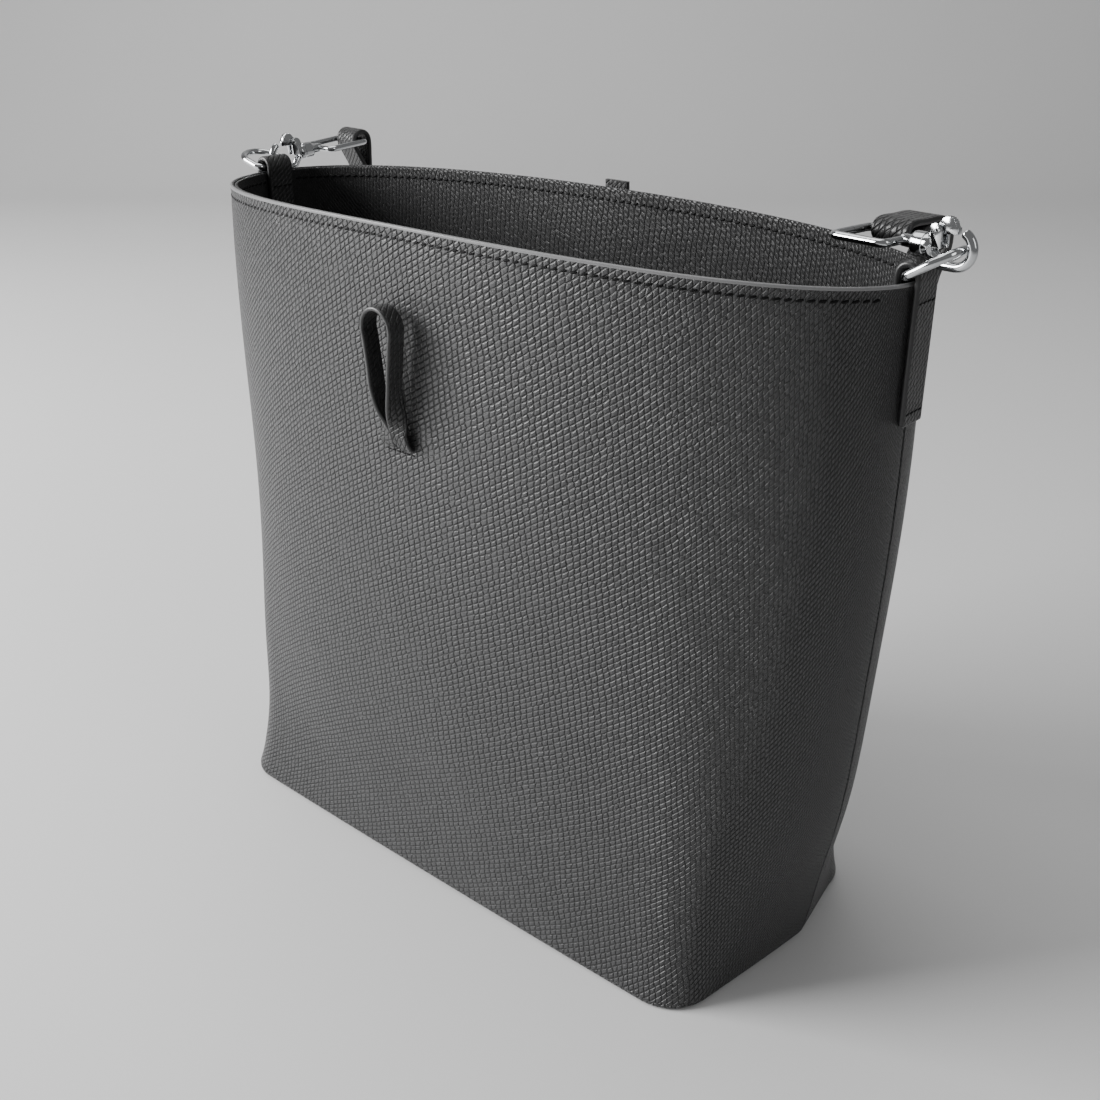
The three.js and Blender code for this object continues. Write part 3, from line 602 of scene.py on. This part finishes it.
# Rows of stitches along the mouth, through both plies: outside on the leather, inside on the lining. They are
# spaced evenly along the wall's own length.
def mouthStitches(side, depth, facing):
    shares = np.linspace(0.012, 0.988, 901)
    points = wall(side, shares, np.array([1 - bag["stitchBelowRim"] / bag["height"]]))
    normal = wallOut(points, side, shares)[0]
    run = np.concatenate([[0], np.cumsum(np.linalg.norm(np.diff(points[0], axis=0), axis=1))])
    at = np.arange(bag["stitchPitch"], run[-1] - bag["stitchPitch"], bag["stitchPitch"])
    lines = np.concatenate([points[0] - normal * depth, np.gradient(points[0], run, axis=0), normal * facing],
                           -1)
    spots = np.stack([np.interp(at, run, column) for column in lines.T], -1)
    spots = spots[np.abs(spots[:, 0]) < bag["mouthHalfLength"] - 0.004]
    return spots[:, :3], spots[:, 3:6], spots[:, 6:], 0.0026, 0.00052, 0.22


innerFaceDepth = bag["leather"] + bag["gap"] + bag["lining"]
addStitches("mouth_stitches", [mouthStitches(-1, 0.00042, 1), mouthStitches(1, 0.00042, 1),
                               mouthStitches(-1, innerFaceDepth, -1), mouthStitches(1, innerFaceDepth, -1)],
                               "bag")
print("mouth stitched")


# Plates of the bottom: rings shrink from the wall's outline to the middle, with a rounded edge.
def plateGrid(inset, bottom, thickness, heightShare):
    shares = np.linspace(0, 1, 161)
    sides = []
    for side in (-1, 1):
        points = wall(side, shares, np.array([heightShare]))
        edge = points[0] - wallOut(points, side, shares)[0] * inset
        sides.append(edge if side < 0 else edge[::-1])
    outline = np.concatenate([sides[0], sides[1][1:]])[:, :2]
    turn = np.linspace(-np.pi / 2, np.pi / 2, 9)
    r = thickness / 2
    shrink = np.concatenate([np.linspace(0, 1, 24)[:-1], np.ones(9), np.linspace(1, 0, 24)[1:]])
    back = np.concatenate([np.full(23, r), r * (1 - np.cos(turn)), np.full(23, r)])
    z = np.concatenate([np.full(23, bottom), bottom + r + r * np.sin(turn), np.full(23, bottom + thickness)])
    length = np.linalg.norm(outline, axis=1, keepdims=True)
    ring = outline[None] * shrink[:, None, None] * (1 - back[:, None, None] / length[None])
    grid = np.concatenate([ring, np.broadcast_to(z[:, None, None], (*ring.shape[:2], 1))], -1)
    return grid, ring


for node, inset, bottom, thickness, heightShare, finish, slot in (
        ("base_panel", bag["foldRadius"] + bag["hem"] + 0.0006, 0.0, 0.0018, 0.0, leather, "leather"),
        ("base_lining", 0.0029, 0.0044, 0.0012, 0.02, innerLeather, "lining")):
    grid, flat = plateGrid(inset, bottom, thickness, heightShare)
    addSurface(node + "_leather", [grid], "bag", [finish], [flat], None, node)
frame["nodes"]["base_board"].data.materials.clear()
frame["nodes"]["base_board"].data.materials.append(fibreBoard)
print("bottom laid")


# Closure loop: out of a slit in the front, up, round an arch and back into the slit.
loop = {"width": 0.0074, "thickness": 0.0018, "height": 0.053, "arch": 0.016, "belowRim": 0.081,
        "gap": 0.0003}
loopZ = bag["height"] + bag["frontRise"] - loop["belowRim"]


def loopLine():
    legX = (loop["width"] + loop["gap"]) / 2
    archX = loop["arch"] / 2 - loop["thickness"] / 2
    archZ = loop["height"] - archX
    share = np.array([0.1, 0.2, 0.35, 0.5, 0.7, 0.9, 1])
    x = np.concatenate([[legX] * 3, legX * 0.7 + (archX - legX * 0.7) * share**1.4])
    z = np.concatenate([[0, 0.0001, 0.0019], archZ * share])
    proud = np.concatenate([[-0.0011, 0.0012, 0.0026], 0.003 + 0.0032 * ease(share * 2)])
    turn = np.concatenate([[0] * 3, np.pi / 2 * ease(share * 2)])
    angle = np.radians(np.arange(22.5, 180, 22.5))
    leg = np.stack([x, z, proud, turn], -1)
    top = np.stack([archX * np.cos(angle), archZ + archX * np.sin(angle), 0 * angle + 0.0062,
                    0 * angle + np.pi / 2], -1)
    other = leg[::-1] * [-1, 1, 1, 1]
    route = np.concatenate([leg, top, other])
    side = np.concatenate([np.ones(len(leg) + len(top)), -np.ones(len(other))])
    spots, normals = wallSpot(-1, route[:, 0], loopZ + route[:, 1])
    points = np.stack([route[:, 0], spots[:, 1] - route[:, 2], loopZ + route[:, 1]], -1)
    width = np.stack([-side * np.cos(route[:, 3]), -np.sin(route[:, 3]), 0 * side], -1)
    return points, width


points, width = loopLine()
line = smoothLine(np.concatenate([points, width], -1), 0.0006)
grid, flat, marks = sweep(line[:, :3], line[:, 3:], band(loop["width"], loop["thickness"]), 0.0)
addSurface("closure_loop_leather", [grid], "bag", [shadedStrapLeather, strapPaint], [flat], [marks],
           "closure_loop")
slitX = np.linspace(-0.0062, 0.0062, 6)
spots, normals = wallSpot(-1, slitX, np.full(6, loopZ - 0.0027))
addStitches("loop_stitches", [(spots, np.tile([1.0, 0, 0], (6, 1)), normals, 0.0021, 0.00034, 0.0)], "bag")
print("closure loop made")


# Side tabs: a strap folded over each end of the mouth.
tab = {"width": 0.0134, "thickness": 0.0022, "outer": 0.049, "inner": 0.036, "foldRadius": 0.0024}
ringBar = {"left": np.array(joints["left_ring_swing"]["pos_m"]),
           "right": np.array(joints["right_ring_swing"]["pos_m"])}


def tabLine(side, bar):
    middle = tab["foldRadius"] + tab["thickness"] / 2
    fold = arc((0, 0), middle, 0, 180, 13)
    outer = np.stack([np.full(7, middle), np.linspace(-tab["outer"] + 0.0006, -0.004, 7)], -1)
    inner = np.stack([np.full(6, -middle), np.linspace(-0.004, -tab["inner"] + 0.0006, 6)], -1)
    route = np.concatenate([outer, fold, inner])
    return np.stack([bar[0] + side * route[:, 0], np.full(len(route), bar[1]), bar[2] + route[:, 1]], -1)


for name, side in (("left", -1), ("right", 1)):
    bar = ringBar[name]
    line = smoothLine(tabLine(side, bar), 0.0009)
    grid, flat, marks = sweep(line, (0, 1, 0), band(tab["width"], tab["thickness"]), 0.0006)
    addSurface(f"{name}_tab_leather", [grid], "bag", [shadedStrapLeather, strapPaint], [flat], [marks],
               f"{name}_tab")
    outerX = bar[0] + side * (tab["foldRadius"] + tab["thickness"])
    innerX = bar[0] - side * (tab["foldRadius"] + tab["thickness"])
    rows = []
    for x, out, levels in ((outerX, side, (-0.0085, -tab["outer"] + 0.0042)),
                           (innerX, -side, (-0.0085, -tab["inner"] + 0.0042))):
        for level in levels:
            y = bar[1] + np.linspace(-0.0042, 0.0042, 4)
            centres = np.stack([np.full(4, x), y, np.full(4, bar[2] + level)], -1)
            rows.append((centres, np.tile([0, 1.0, 0], (4, 1)), np.tile([out, 0, 0.0], (4, 1)), 0.0023,
                         0.00036, 0.12))
    addStitches(f"{name}_tab_stitches", rows, "bag")
print("tabs folded")


# D-rings.
ring = {"wire": 0.003, "innerWidth": 0.0145, "leg": 0.008}
ringRadius = (ring["innerWidth"] + ring["wire"]) / 2
origins = {name: np.array(joints[f"{name}_hook_tilt"]["pos_m"]) for name in ("left", "right")}

for name in ("left", "right"):
    bar = ringBar[name]
    reach = unit((origins[name] - bar) * [1, 0, 1])
    corner = ringRadius - 0.002
    lower = np.concatenate([[[0.00008, 0]], np.linspace([0.002, 0], [corner, 0], 5),
                            arc((corner, 0.002), 0.002, -90, 0, 7)[1:]])
    bow = np.concatenate([[[ringRadius, 0.004]], arc((0, ring["leg"]), ringRadius, 0, 90, 17)])
    half = np.concatenate([lower, bow])
    outline = np.concatenate([half, half[-2::-1] * [-1, 1]])
    line = smoothLine(bar + outline[:, :1] * np.array([0, 1.0, 0]) + outline[:, 1:] * reach, 0.0005)
    plane = np.cross([0, 1.0, 0], reach)
    grid, flat, marks = sweep(line, plane, circle(ring["wire"] / 2))
    addSurface(f"{name}_d_ring_metal", [grid], f"{name}_ring", [chrome], [flat], None,
               f"{name}_d_ring")
print("rings bent")


# Snap hooks: x towards the tip, y across the opening, z through it.
hook = {"wire": 0.0032, "bend": 0.0056, "throat": 0.008, "barrelRadius": 0.0037, "barrelLength": 0.0074,
        "barrelWall": 0.0012, "stud": 0.0013, "studHead": 0.0023, "clearance": 0.00035, "neck": 0.0026,
        "gateWidth": 0.0024,
        "ear": 0.0009, "pin": 0.0007, "thumb": 0.0031, "eyeInner": 0.0175, "eyeWire": 0.0028, "gap": 0.0003}
bendX = hook["bend"] - hook["wire"] / 2 - ring["wire"] / 2 - hook["gap"]
barrelFront = -bendX - hook["throat"]
barrelBack = barrelFront - hook["barrelLength"]
eyeNear = barrelBack - hook["gap"] - hook["eyeWire"] / 2 - hook["neck"]
eyeFar = eyeNear - hook["eyeInner"] - hook["eyeWire"]
pivot = np.array([barrelFront + 0.0021, -hook["bend"]])


def turned(profile, sides=32):
    # A profile of (x, radius) pairs spun round x.
    profile = np.asarray(profile, float)
    q = np.linspace(0, 2 * np.pi, sides + 1)
    x = np.broadcast_to(profile[:, :1], (len(profile), sides + 1))
    return np.stack([x, profile[:, 1:] * np.cos(q), profile[:, 1:] * np.sin(q)], -1)


def stamped(outline, middle, low, high, bevel):
    # A flat plate: rings grow from its middle to its outline, up a bevelled edge, and back to the middle.
    outline = np.concatenate([outline, outline[:1]])
    spoke = outline - middle
    away = np.linalg.norm(spoke, axis=1, keepdims=True)
    inner = middle + spoke * (1 - bevel / away)
    soft = middle + spoke * (1 - bevel * 0.3 / away)
    centre = np.broadcast_to(middle, outline.shape)
    rings = [(centre, low), (inner, low), (soft, low + bevel * 0.3), (outline, low + bevel),
             (outline, high - bevel),
             (soft, high - bevel * 0.3), (inner, high), (centre, high)]
    return np.stack([np.concatenate([place, np.full((len(place), 1), z)], -1) for place, z in rings])


def hookPieces(name):
    x = np.array(joints[f"{name}_eye_swivel"]["axis"], float)
    z = np.array(joints[f"{name}_gate_open"]["axis"], float)
    x, z = unit(x), unit(z - x * (x @ z))
    turn = np.stack([x, np.cross(z, x), z])

    def place(grid):
        return grid @ turn + origins[name]

    body, slot = f"{name}_hook", "chrome"

    shank = np.array([[barrelFront + bendX - 0.002, 0.0012], [barrelFront + bendX + 0.0006, 0.003],
                      [barrelFront + bendX + 0.003, hook["bend"]]])
    bend = arc((0, 0), hook["bend"], 90, -62, 25)
    rodLine = np.concatenate([shank, np.linspace([barrelFront + bendX + 0.0042, hook["bend"]], bend[0],
                                                 4)[:-1], bend])
    rodLine = np.column_stack([rodLine[:, 0] - bendX, rodLine[:, 1], 0 * rodLine[:, 0]])
    rodLine = smoothLine(rodLine, 0.0004)
    grids = [sweep(rodLine, (0, 0, 1), circle(hook["wire"] / 2), 0.0007)[0]]
    back, front, radius = barrelBack, barrelFront, hook["barrelRadius"]
    cavity, hollow = barrelBack + hook["barrelWall"], hook["stud"] + hook["clearance"]
    head = hook["studHead"] + hook["clearance"]
    grids.append(turned([
        (front + 0.0003, 0), (front + 0.0003, radius - 0.0012), (front, radius - 0.0009),
        (front - 0.0002, radius - 0.0004),
        (front - 0.0006, radius - 0.0001), (front - 0.001, radius), (front - 0.0022, radius),
        (front - 0.0024, radius - 0.0003),
        (front - 0.0028, radius - 0.0003), (front - 0.003, radius), (back + 0.0008, radius),
        (back + 0.0004, radius - 0.0001),
        (back + 0.0001, radius - 0.0004), (back, radius - 0.0008), (back, hollow + 0.0002),
        (back + 0.0002, hollow),
        (cavity, hollow), (cavity, head), (cavity + 0.0026, head), (cavity + 0.0026, 0)]))
    earTop, earFoot, earHalf = 0.0006, -hook["bend"] - 0.001, 0.0024
    earMiddle = np.array([barrelFront + 0.0012, -hook["bend"] / 2])
    corners = [((earMiddle[0] + earHalf - 0.0007, earTop - 0.0007), 0, 90),
               ((earMiddle[0] - earHalf + 0.0007, earTop - 0.0007), 90, 180)]
    foot = arc((earMiddle[0], earFoot + earHalf - 0.0006), earHalf, 180, 360, 15)
    earLine = np.concatenate([arc(m, 0.0007, a, b, 5) for m, a, b in corners] + [foot])
    for face in (-1, 1):
        low = face * (hook["gateWidth"] / 2 + hook["gap"] + hook["ear"] / 2) - hook["ear"] / 2
        grids.append(stamped(earLine, earMiddle, low, low + hook["ear"], 0.0002))
    addSurface(f"{name}_hook_metal", [place(grid) for grid in grids], body, [chrome], None, None,
               f"{name}_hook_body")

    tip = hook["bend"] * np.cos(np.radians(-62)) - bendX - pivot[0] - hook["wire"] / 2 - 0.0006
    thumbMiddle = np.array([0.0024, -0.0008])
    outline = np.concatenate([arc((0, 0), 0.0017, 90, 250, 11), arc(thumbMiddle, hook["thumb"], 215, 345, 19),
                              arc((tip - 0.0004, -0.0006), 0.0004, 270, 360, 4),
                              arc((tip - 0.0004, 0.0008), 0.0004, 0, 90, 4)])
    blade = stamped(outline, thumbMiddle + [0, 0.0008], -hook["gateWidth"] / 2, hook["gateWidth"] / 2, 0.0004)
    ridges = [sweep(np.column_stack([pivot[0] + arc(thumbMiddle, hook["thumb"] * 0.97, a, a + 0.1, 5)[:, 0],
                                     pivot[1] + arc(thumbMiddle, hook["thumb"] * 0.97, a, a + 0.1, 5)[:, 1],
                                     np.linspace(-0.0009, 0.0009, 5)]), (1, 0, 0), circle(0.00022, 8),
                                     0.0001)[0]
              for a in range(235, 330, 15)]
    blade = blade + np.array([*pivot, 0])
    addSurface(f"{name}_gate_metal", [place(grid) for grid in [blade, *ridges]], f"{name}_gate",
               [chrome], None, None,
               f"{name}_hook_gate")

    reach = hook["gateWidth"] / 2 + hook["gap"] + hook["ear"] + 0.0001
    pin = turned([(-reach - 0.0002, 0), (-reach - 0.0002, 0.0006), (-reach, 0.0009),
                  (-reach + 0.0002, 0.0009), (-reach + 0.0002, hook["pin"]),
                  (reach - 0.0002, hook["pin"]), (reach - 0.0002, 0.0009), (reach, 0.0009),
                  (reach + 0.0002, 0.0006), (reach + 0.0002, 0)], 20)
    pin = pin[..., [1, 2, 0]] + np.array([*pivot, 0])
    addSurface(f"{name}_pin_metal", [place(pin)], body, [chrome], None, None, f"{name}_gate_pin")

    angle = np.linspace(0, 3 * 2 * np.pi, 90)
    coil = np.column_stack([pivot[0] + 0.0012 * np.cos(angle), pivot[1] + 0.0012 * np.sin(angle),
                            hook["gateWidth"] / 2 - 0.0006 + 0.00058 * angle / angle[-1]])
    spring = sweep(coil, (0, 0, 1), circle(0.0001, 8), 0.00005)[0]
    addSurface(f"{name}_spring_wire", [place(spring)], body, [springSteel], None, None,
               f"{name}_gate_spring")

    half, corner = (hook["eyeInner"] + hook["eyeWire"]) / 2, 0.0024
    edge = np.concatenate([[[eyeFar, 0.00008]], np.linspace([eyeFar, 0.001], [eyeFar, half - corner], 6),
                           arc((eyeFar + corner, half - corner), corner, 180, 90, 8)[1:],
                           np.linspace([eyeFar + corner, half], [eyeNear - corner, half], 6)[1:-1],
                           arc((eyeNear - corner, half - corner), corner, 90, 0, 8)])
    wire = np.concatenate([edge, [[eyeNear, 0]], edge[::-1] * [1, -1]])
    wire = smoothLine(np.column_stack([wire[:, 0], 0 * wire[:, 0], wire[:, 1]]), 0.0005)
    stud, studHead = hook["stud"], hook["studHead"]
    headBack = barrelBack + hook["barrelWall"] + hook["clearance"]
    collar = barrelBack - hook["gap"]
    grids = [sweep(wire, (0, 1, 0), circle(hook["eyeWire"] / 2))[0],
             turned([(eyeNear, 0), (eyeNear, stud + 0.0007), (collar - 0.0008, stud + 0.0009),
                     (collar - 0.0003, stud + 0.0011),
                     (collar, stud + 0.0008), (collar, stud), (headBack, stud), (headBack, studHead),
                     (headBack + 0.0015, studHead),
                     (headBack + 0.0015, 0)])]
    addSurface(f"{name}_eye_metal", [place(grid) for grid in grids], f"{name}_eye", [chrome], None,
               None, f"{name}_swivel_eye")
    return turn


turns = {name: hookPieces(name) for name in ("left", "right")}
print("hooks made")


# Shoulder strap: round the left eye, down behind the bag in a hanging curve, up and round the right eye.
strap = {"width": 0.015, "thickness": 0.0022, "fold": 0.0042, "drop": 0.256, "behind": 0.0024,
         "foldRight": 0.003, "tailLeft": 0.032,
         "tailRight": 0.016, "gap": 0.0003}
leftBar = np.array(joints["strap_swing"]["pos_m"])
swing = unit(np.array(joints["strap_swing"]["axis"]))
backwards = unit(np.cross([0, 0, 1.0], swing))
rightBar = (origins["right"] + swing * (eyeNear + eyeFar) / 2
            + backwards * (hook["eyeInner"] + hook["eyeWire"]) / 2)
beside = strap["fold"] - strap["thickness"] - strap["gap"]


def beyond(bar, places):
    # (y, z) places behind and above a bar, flat across the swing.
    places = np.atleast_2d(places)
    points = bar + places[:, :1] * backwards + places[:, 1:2] * np.array([0, 0, 1.0])
    return np.concatenate([points, np.tile(swing, (len(points), 1))], -1)


def hangingCurve():
    # A chain's curve z = size (cosh(x / size) - 1), with the strap turning edge-on as it falls.
    top = leftBar + backwards * strap["fold"] + [0, 0, -0.014]
    over = rightBar.copy()
    over[1] = wallSpot(1, rightBar[0], bag["height"]
                       * 0.97)[0][0, 1] + strap["thickness"] / 2 + strap["behind"] + 0.005
    middle, half = (top[0] + over[0]) / 2, (over[0] - top[0]) / 2
    low, high = 0.005, 2.0
    for _ in range(60):
        size = (low + high) / 2
        low, high = (size, high) if size * (np.cosh(half / size) - 1) > strap["drop"] else (low, size)
    lowZ = top[2] - strap["drop"]
    lowY = wallSpot(1, middle, lowZ)[0][0, 1] + strap["width"] / 2 + strap["behind"]
    along = np.arcsinh(np.sinh(half / low) * np.linspace(-1, 1, 61)) * low
    z = lowZ + low * (np.cosh(along / low) - 1)
    fall = (top[2] - z) / strap["drop"]
    start = np.where(along < 0, top[1], over[1])
    turn = np.pi / 2 * ease((fall - 0.04) / 0.5)
    points = np.column_stack([middle + along, start + (lowY - start) * fall, z])
    width = swing * np.cos(turn)[:, None] + np.array([0, 1.0, 0]) * np.sin(turn)[:, None]
    return np.concatenate([points, width], -1), over[1] - rightBar[1]


hanging, run = hangingCurve()
fold = strap["fold"]
tight = strap["foldRight"]
below = tight - strap["thickness"] - strap["gap"]
route = np.concatenate([
    beyond(leftBar, [[beside, -strap["tailLeft"]], [beside, -strap["tailLeft"] / 2], [beside, -0.013],
                     [(beside - fold) / 2, -0.007]]),
    beyond(leftBar, arc((0, 0), fold, 190, 0, 12)),
    beyond(leftBar, [[fold, -0.008]]),
    hanging,
    beyond(rightBar, arc((run - 0.007, tight - 0.007), 0.007, 0, 90, 7)),
    beyond(rightBar, [[(run - 0.007) / 2, tight]]),
    beyond(rightBar, arc((0, 0), tight, 90, 260, 12)),
    beyond(rightBar, [[tight * 1.2, -tight * 0.7], [tight * 2.2, below], [strap["tailRight"], below]])])
line = smoothLine(route, 0.0012)
grid, flat, marks = sweep(line[:, :3], line[:, 3:], band(strap["width"], strap["thickness"], flatSteps=10),
                          0.0)
addSurface("shoulder_strap_leather", [grid], "strap", [shadedStrapLeather, strapPaint], [flat], [marks],
           "shoulder_strap")
print("strap hung, length", round(float(np.linalg.norm(np.diff(line[:, :3], axis=0), axis=1).sum()), 3))


# Stitches that close the strap's end folds, across the strap.
def strapTacks(bar, places, out):
    rows = []
    for y, z in places:
        offsets = np.linspace(-0.0048, 0.0048, 5)
        centres = beyond(bar, [[y, z]])[0, :3] + offsets[:, None] * swing
        rows.append((centres, np.tile(swing, (5, 1)), np.tile(out, (5, 1)), 0.0021, 0.00036, 0.1))
    return rows


half = strap["thickness"] / 2
rows = strapTacks(leftBar, [(beside - half, -0.017), (beside - half, -strap["tailLeft"] + 0.004)], -backwards)
rows += strapTacks(leftBar, [(fold + half, -0.017), (fold + half, -strap["tailLeft"] + 0.006)], backwards)
rows += strapTacks(rightBar, [(strap["tailRight"] - 0.004, below - half)], np.array([0, 0, -1.0]))
addStitches("strap_stitches", rows, "strap")


# Toggle: an anchor sewn to the back, a hanging strap, and a turned bar in its end.
toggle = {"width": 0.012, "thickness": 0.002, "length": 0.138, "anchorLength": 0.024,
          "anchorThickness": 0.001,
          "lean": np.radians(2.2), "radius": 0.0045, "barLength": 0.038, "endRadius": 0.0052}
hinge = np.array(joints["toggle_swing"]["pos_m"])
tilt = np.array([[1, 0, 0], [0, np.cos(toggle["lean"]), -np.sin(toggle["lean"])],
                 [0, np.sin(toggle["lean"]), np.cos(toggle["lean"])]])


def hung(points):
    return np.asarray(points) @ tilt.T + hinge


anchorZ = bag["height"] + np.linspace(-toggle["anchorLength"], -0.0006, 9)
spots, normals = wallSpot(1, np.zeros(9), anchorZ, -(bag["gap"] + toggle["anchorThickness"] / 2))
grid, flat, marks = sweep(smoothLine(spots, 0.001), (1, 0, 0),
                          band(toggle["width"], toggle["anchorThickness"]), 0.0)
addSurface("toggle_anchor_leather", [grid], "bag", [shadedStrapLeather, strapPaint], [flat], [marks],
           "toggle_anchor")
loopRadius = toggle["radius"] + 0.0005 + toggle["thickness"] / 2
centreZ = -toggle["length"] - loopRadius
around = arc((loopRadius * 0.6, centreZ), loopRadius, 125, 400, 21)
route = np.concatenate([[[0, 0.0009], [0, -0.02], [0, -0.045], [0, -0.07], [0, -0.1],
                         [0, -toggle["length"] + 0.008],
                        [0.0004, -toggle["length"] + 0.003]], around])
line = smoothLine(hung(np.column_stack([0 * route[:, 0], route])), 0.001)
grid, flat, marks = sweep(line, (1, 0, 0), band(toggle["width"], toggle["thickness"]), 0.0)
addSurface("toggle_strap_leather", [grid], "toggle", [shadedStrapLeather, strapPaint], [flat], [marks],
           "toggle_strap")
half, bulb = toggle["barLength"] / 2, toggle["endRadius"]
endLine = [(-half, 0), (-half + 0.0001, bulb * 0.25), (-half + 0.0005, bulb * 0.55),
           (-half + 0.001, bulb * 0.74), (-half + 0.0018, bulb * 0.9),
           (-half + 0.0026, bulb * 0.97), (-half + 0.0034, bulb), (-half + 0.0042, bulb * 0.99),
           (-half + 0.005, bulb * 0.96),
           (-half + 0.0057, toggle["radius"] * 1.04), (-half + 0.0064, toggle["radius"]),
           (-half + 0.008, toggle["radius"] * 0.985)]
profile = endLine + [(-x, r) for x, r in endLine[::-1]]
bar = turned(profile, 40)
addSurface("toggle_bar_gloss", [hung(bar + [0, loopRadius * 0.6, centreZ])], "toggle_roller",
           [toggleGloss], None, None, "toggle_bar")
x = np.linspace(-0.0038, 0.0038, 4)
seam = hung(np.column_stack([x, np.full(4, toggle["thickness"] / 2), np.full(4, -toggle["length"] + 0.012)]))
spots, normals = wallSpot(1, x, np.full(4, bag["height"] - toggle["anchorLength"] + 0.0035),
                          -(bag["gap"] + toggle["anchorThickness"]))
addStitches("toggle_stitches", [(seam, np.tile([1.0, 0, 0], (4, 1)), np.tile([0, 1.0, 0], (4, 1)), 0.0021,
                                 0.00034, 0.1)], "toggle")
addStitches("anchor_stitches", [(spots, np.tile([1.0, 0, 0], (4, 1)), normals, 0.0021, 0.00034, 0.1)], "bag")
print("toggle made")


# Floor, lights and camera.
studio = {"azimuth": np.radians(41.42), "floorTone": 0.72, "backDistance": 1.6, "sweepRadius": 0.7,
          "floorHalf": 4.0}


def floorFinish():
    finish = Finish("studio paper", (0.72, 0.72, 0.72), Roughness=0.85)
    place = finish.add("TexCoord", {}, {}, "Object")
    cloud = finish.noise(place, 3.0, 3.0)
    tone = studio["floorTone"]
    return finish.feed(Base_Color=finish.mixColour(cloud, (tone * 0.98,) * 3 + (1,),
                                                   (tone * 1.02,) * 3 + (1,)))


def sweepFloor():
    # Flat floor that turns up into a wall behind, facing the camera's side.
    radius, far, half = studio["sweepRadius"], studio["backDistance"], studio["floorHalf"]
    turn = arc((far, radius), radius, -90, 0, 33)
    line = np.concatenate([[[-half, 0]], turn, [[far + radius, 3.2]]])
    away = np.array([-np.sin(studio["azimuth"]), np.cos(studio["azimuth"])])
    side = np.array([away[1], -away[0]])
    across = np.linspace(-half, half, 3)
    grid = (line[:, None, :1] * np.array([*away, 0]) + line[:, None, 1:] * np.array([0, 0, 1.0])
            + across[None, :, None] * np.array([*side, 0]))
    mesh = bpy.data.meshes.new("studio_floor")
    rows, columns = grid.shape[:2]
    index = np.arange(rows * columns).reshape(rows, columns)
    quads = np.stack([index[:-1, :-1], index[:-1, 1:], index[1:, 1:], index[1:, :-1]], -1).reshape(-1, 4)
    mesh.from_pydata(grid.reshape(-1, 3).tolist(), [], quads.tolist())
    mesh.shade_smooth()
    mesh.materials.append(floorFinish())
    floor = bpy.data.objects.new("studio_floor", mesh)
    floor.location.z = -0.0004
    bpy.context.scene.collection.objects.link(floor)


def addLight(name, place, aim, size, power, colour=(1, 1, 1)):
    light = bpy.data.lights.new(name, "AREA")
    light.shape, light.size, light.size_y = "RECTANGLE", *size
    light.energy, light.color = power, colour
    lamp = bpy.data.objects.new(name, light)
    lamp.location = place
    lamp.rotation_euler = (Vector(aim) - Vector(place)).to_track_quat("-Z", "Y").to_euler()
    bpy.context.scene.collection.objects.link(lamp)


sweepFloor()
addLight("window", (-1.3, -1.1, 0.8), (0, 0, 0.15), (1.0, 0.9), 68)
addLight("overhead", (-0.5, 0.1, 1.7), (0, 0, 0.1), (1.2, 1.2), 11)
addLight("side", (1.3, -0.1, 0.9), (0.1, 0, 0.15), (0.35, 0.9), 2.5)
world = bpy.data.worlds.new("studio")
bpy.context.scene.world = world
world.use_nodes = True
world.node_tree.nodes["Background"].inputs["Color"].default_value = (0.9, 0.9, 0.9, 1)
world.node_tree.nodes["Background"].inputs["Strength"].default_value = 0.24

view = {"azimuth": studio["azimuth"], "elevation": np.radians(23.97), "roll": np.radians(0.06),
        "distance": 0.57277,
        "target": Vector((0, 0, 0.14)), "lens": 43.5, "yaw": -0.2401, "pitch": -0.787}
camera = bpy.data.objects.new("camera", bpy.data.cameras.new("camera"))
camera.data.lens, camera.data.sensor_width = view["lens"], 36
camera.data.clip_start = 0.02
back = Vector((np.sin(view["azimuth"]) * np.cos(view["elevation"]),
               -np.cos(view["azimuth"]) * np.cos(view["elevation"]),
               np.sin(view["elevation"])))
aimed = (-back).to_track_quat("-Z", "Y").to_matrix()
nudge = (Matrix.Rotation(view["roll"], 3, "Z") @ Matrix.Rotation(np.radians(view["yaw"]), 3, "Y")
         @ Matrix.Rotation(np.radians(view["pitch"]), 3, "X"))
camera.location = view["target"] + back * view["distance"]
camera.rotation_euler = (aimed @ nudge).to_euler()
bpy.context.scene.collection.objects.link(camera)
bpy.context.scene.camera = camera
print("studio set")
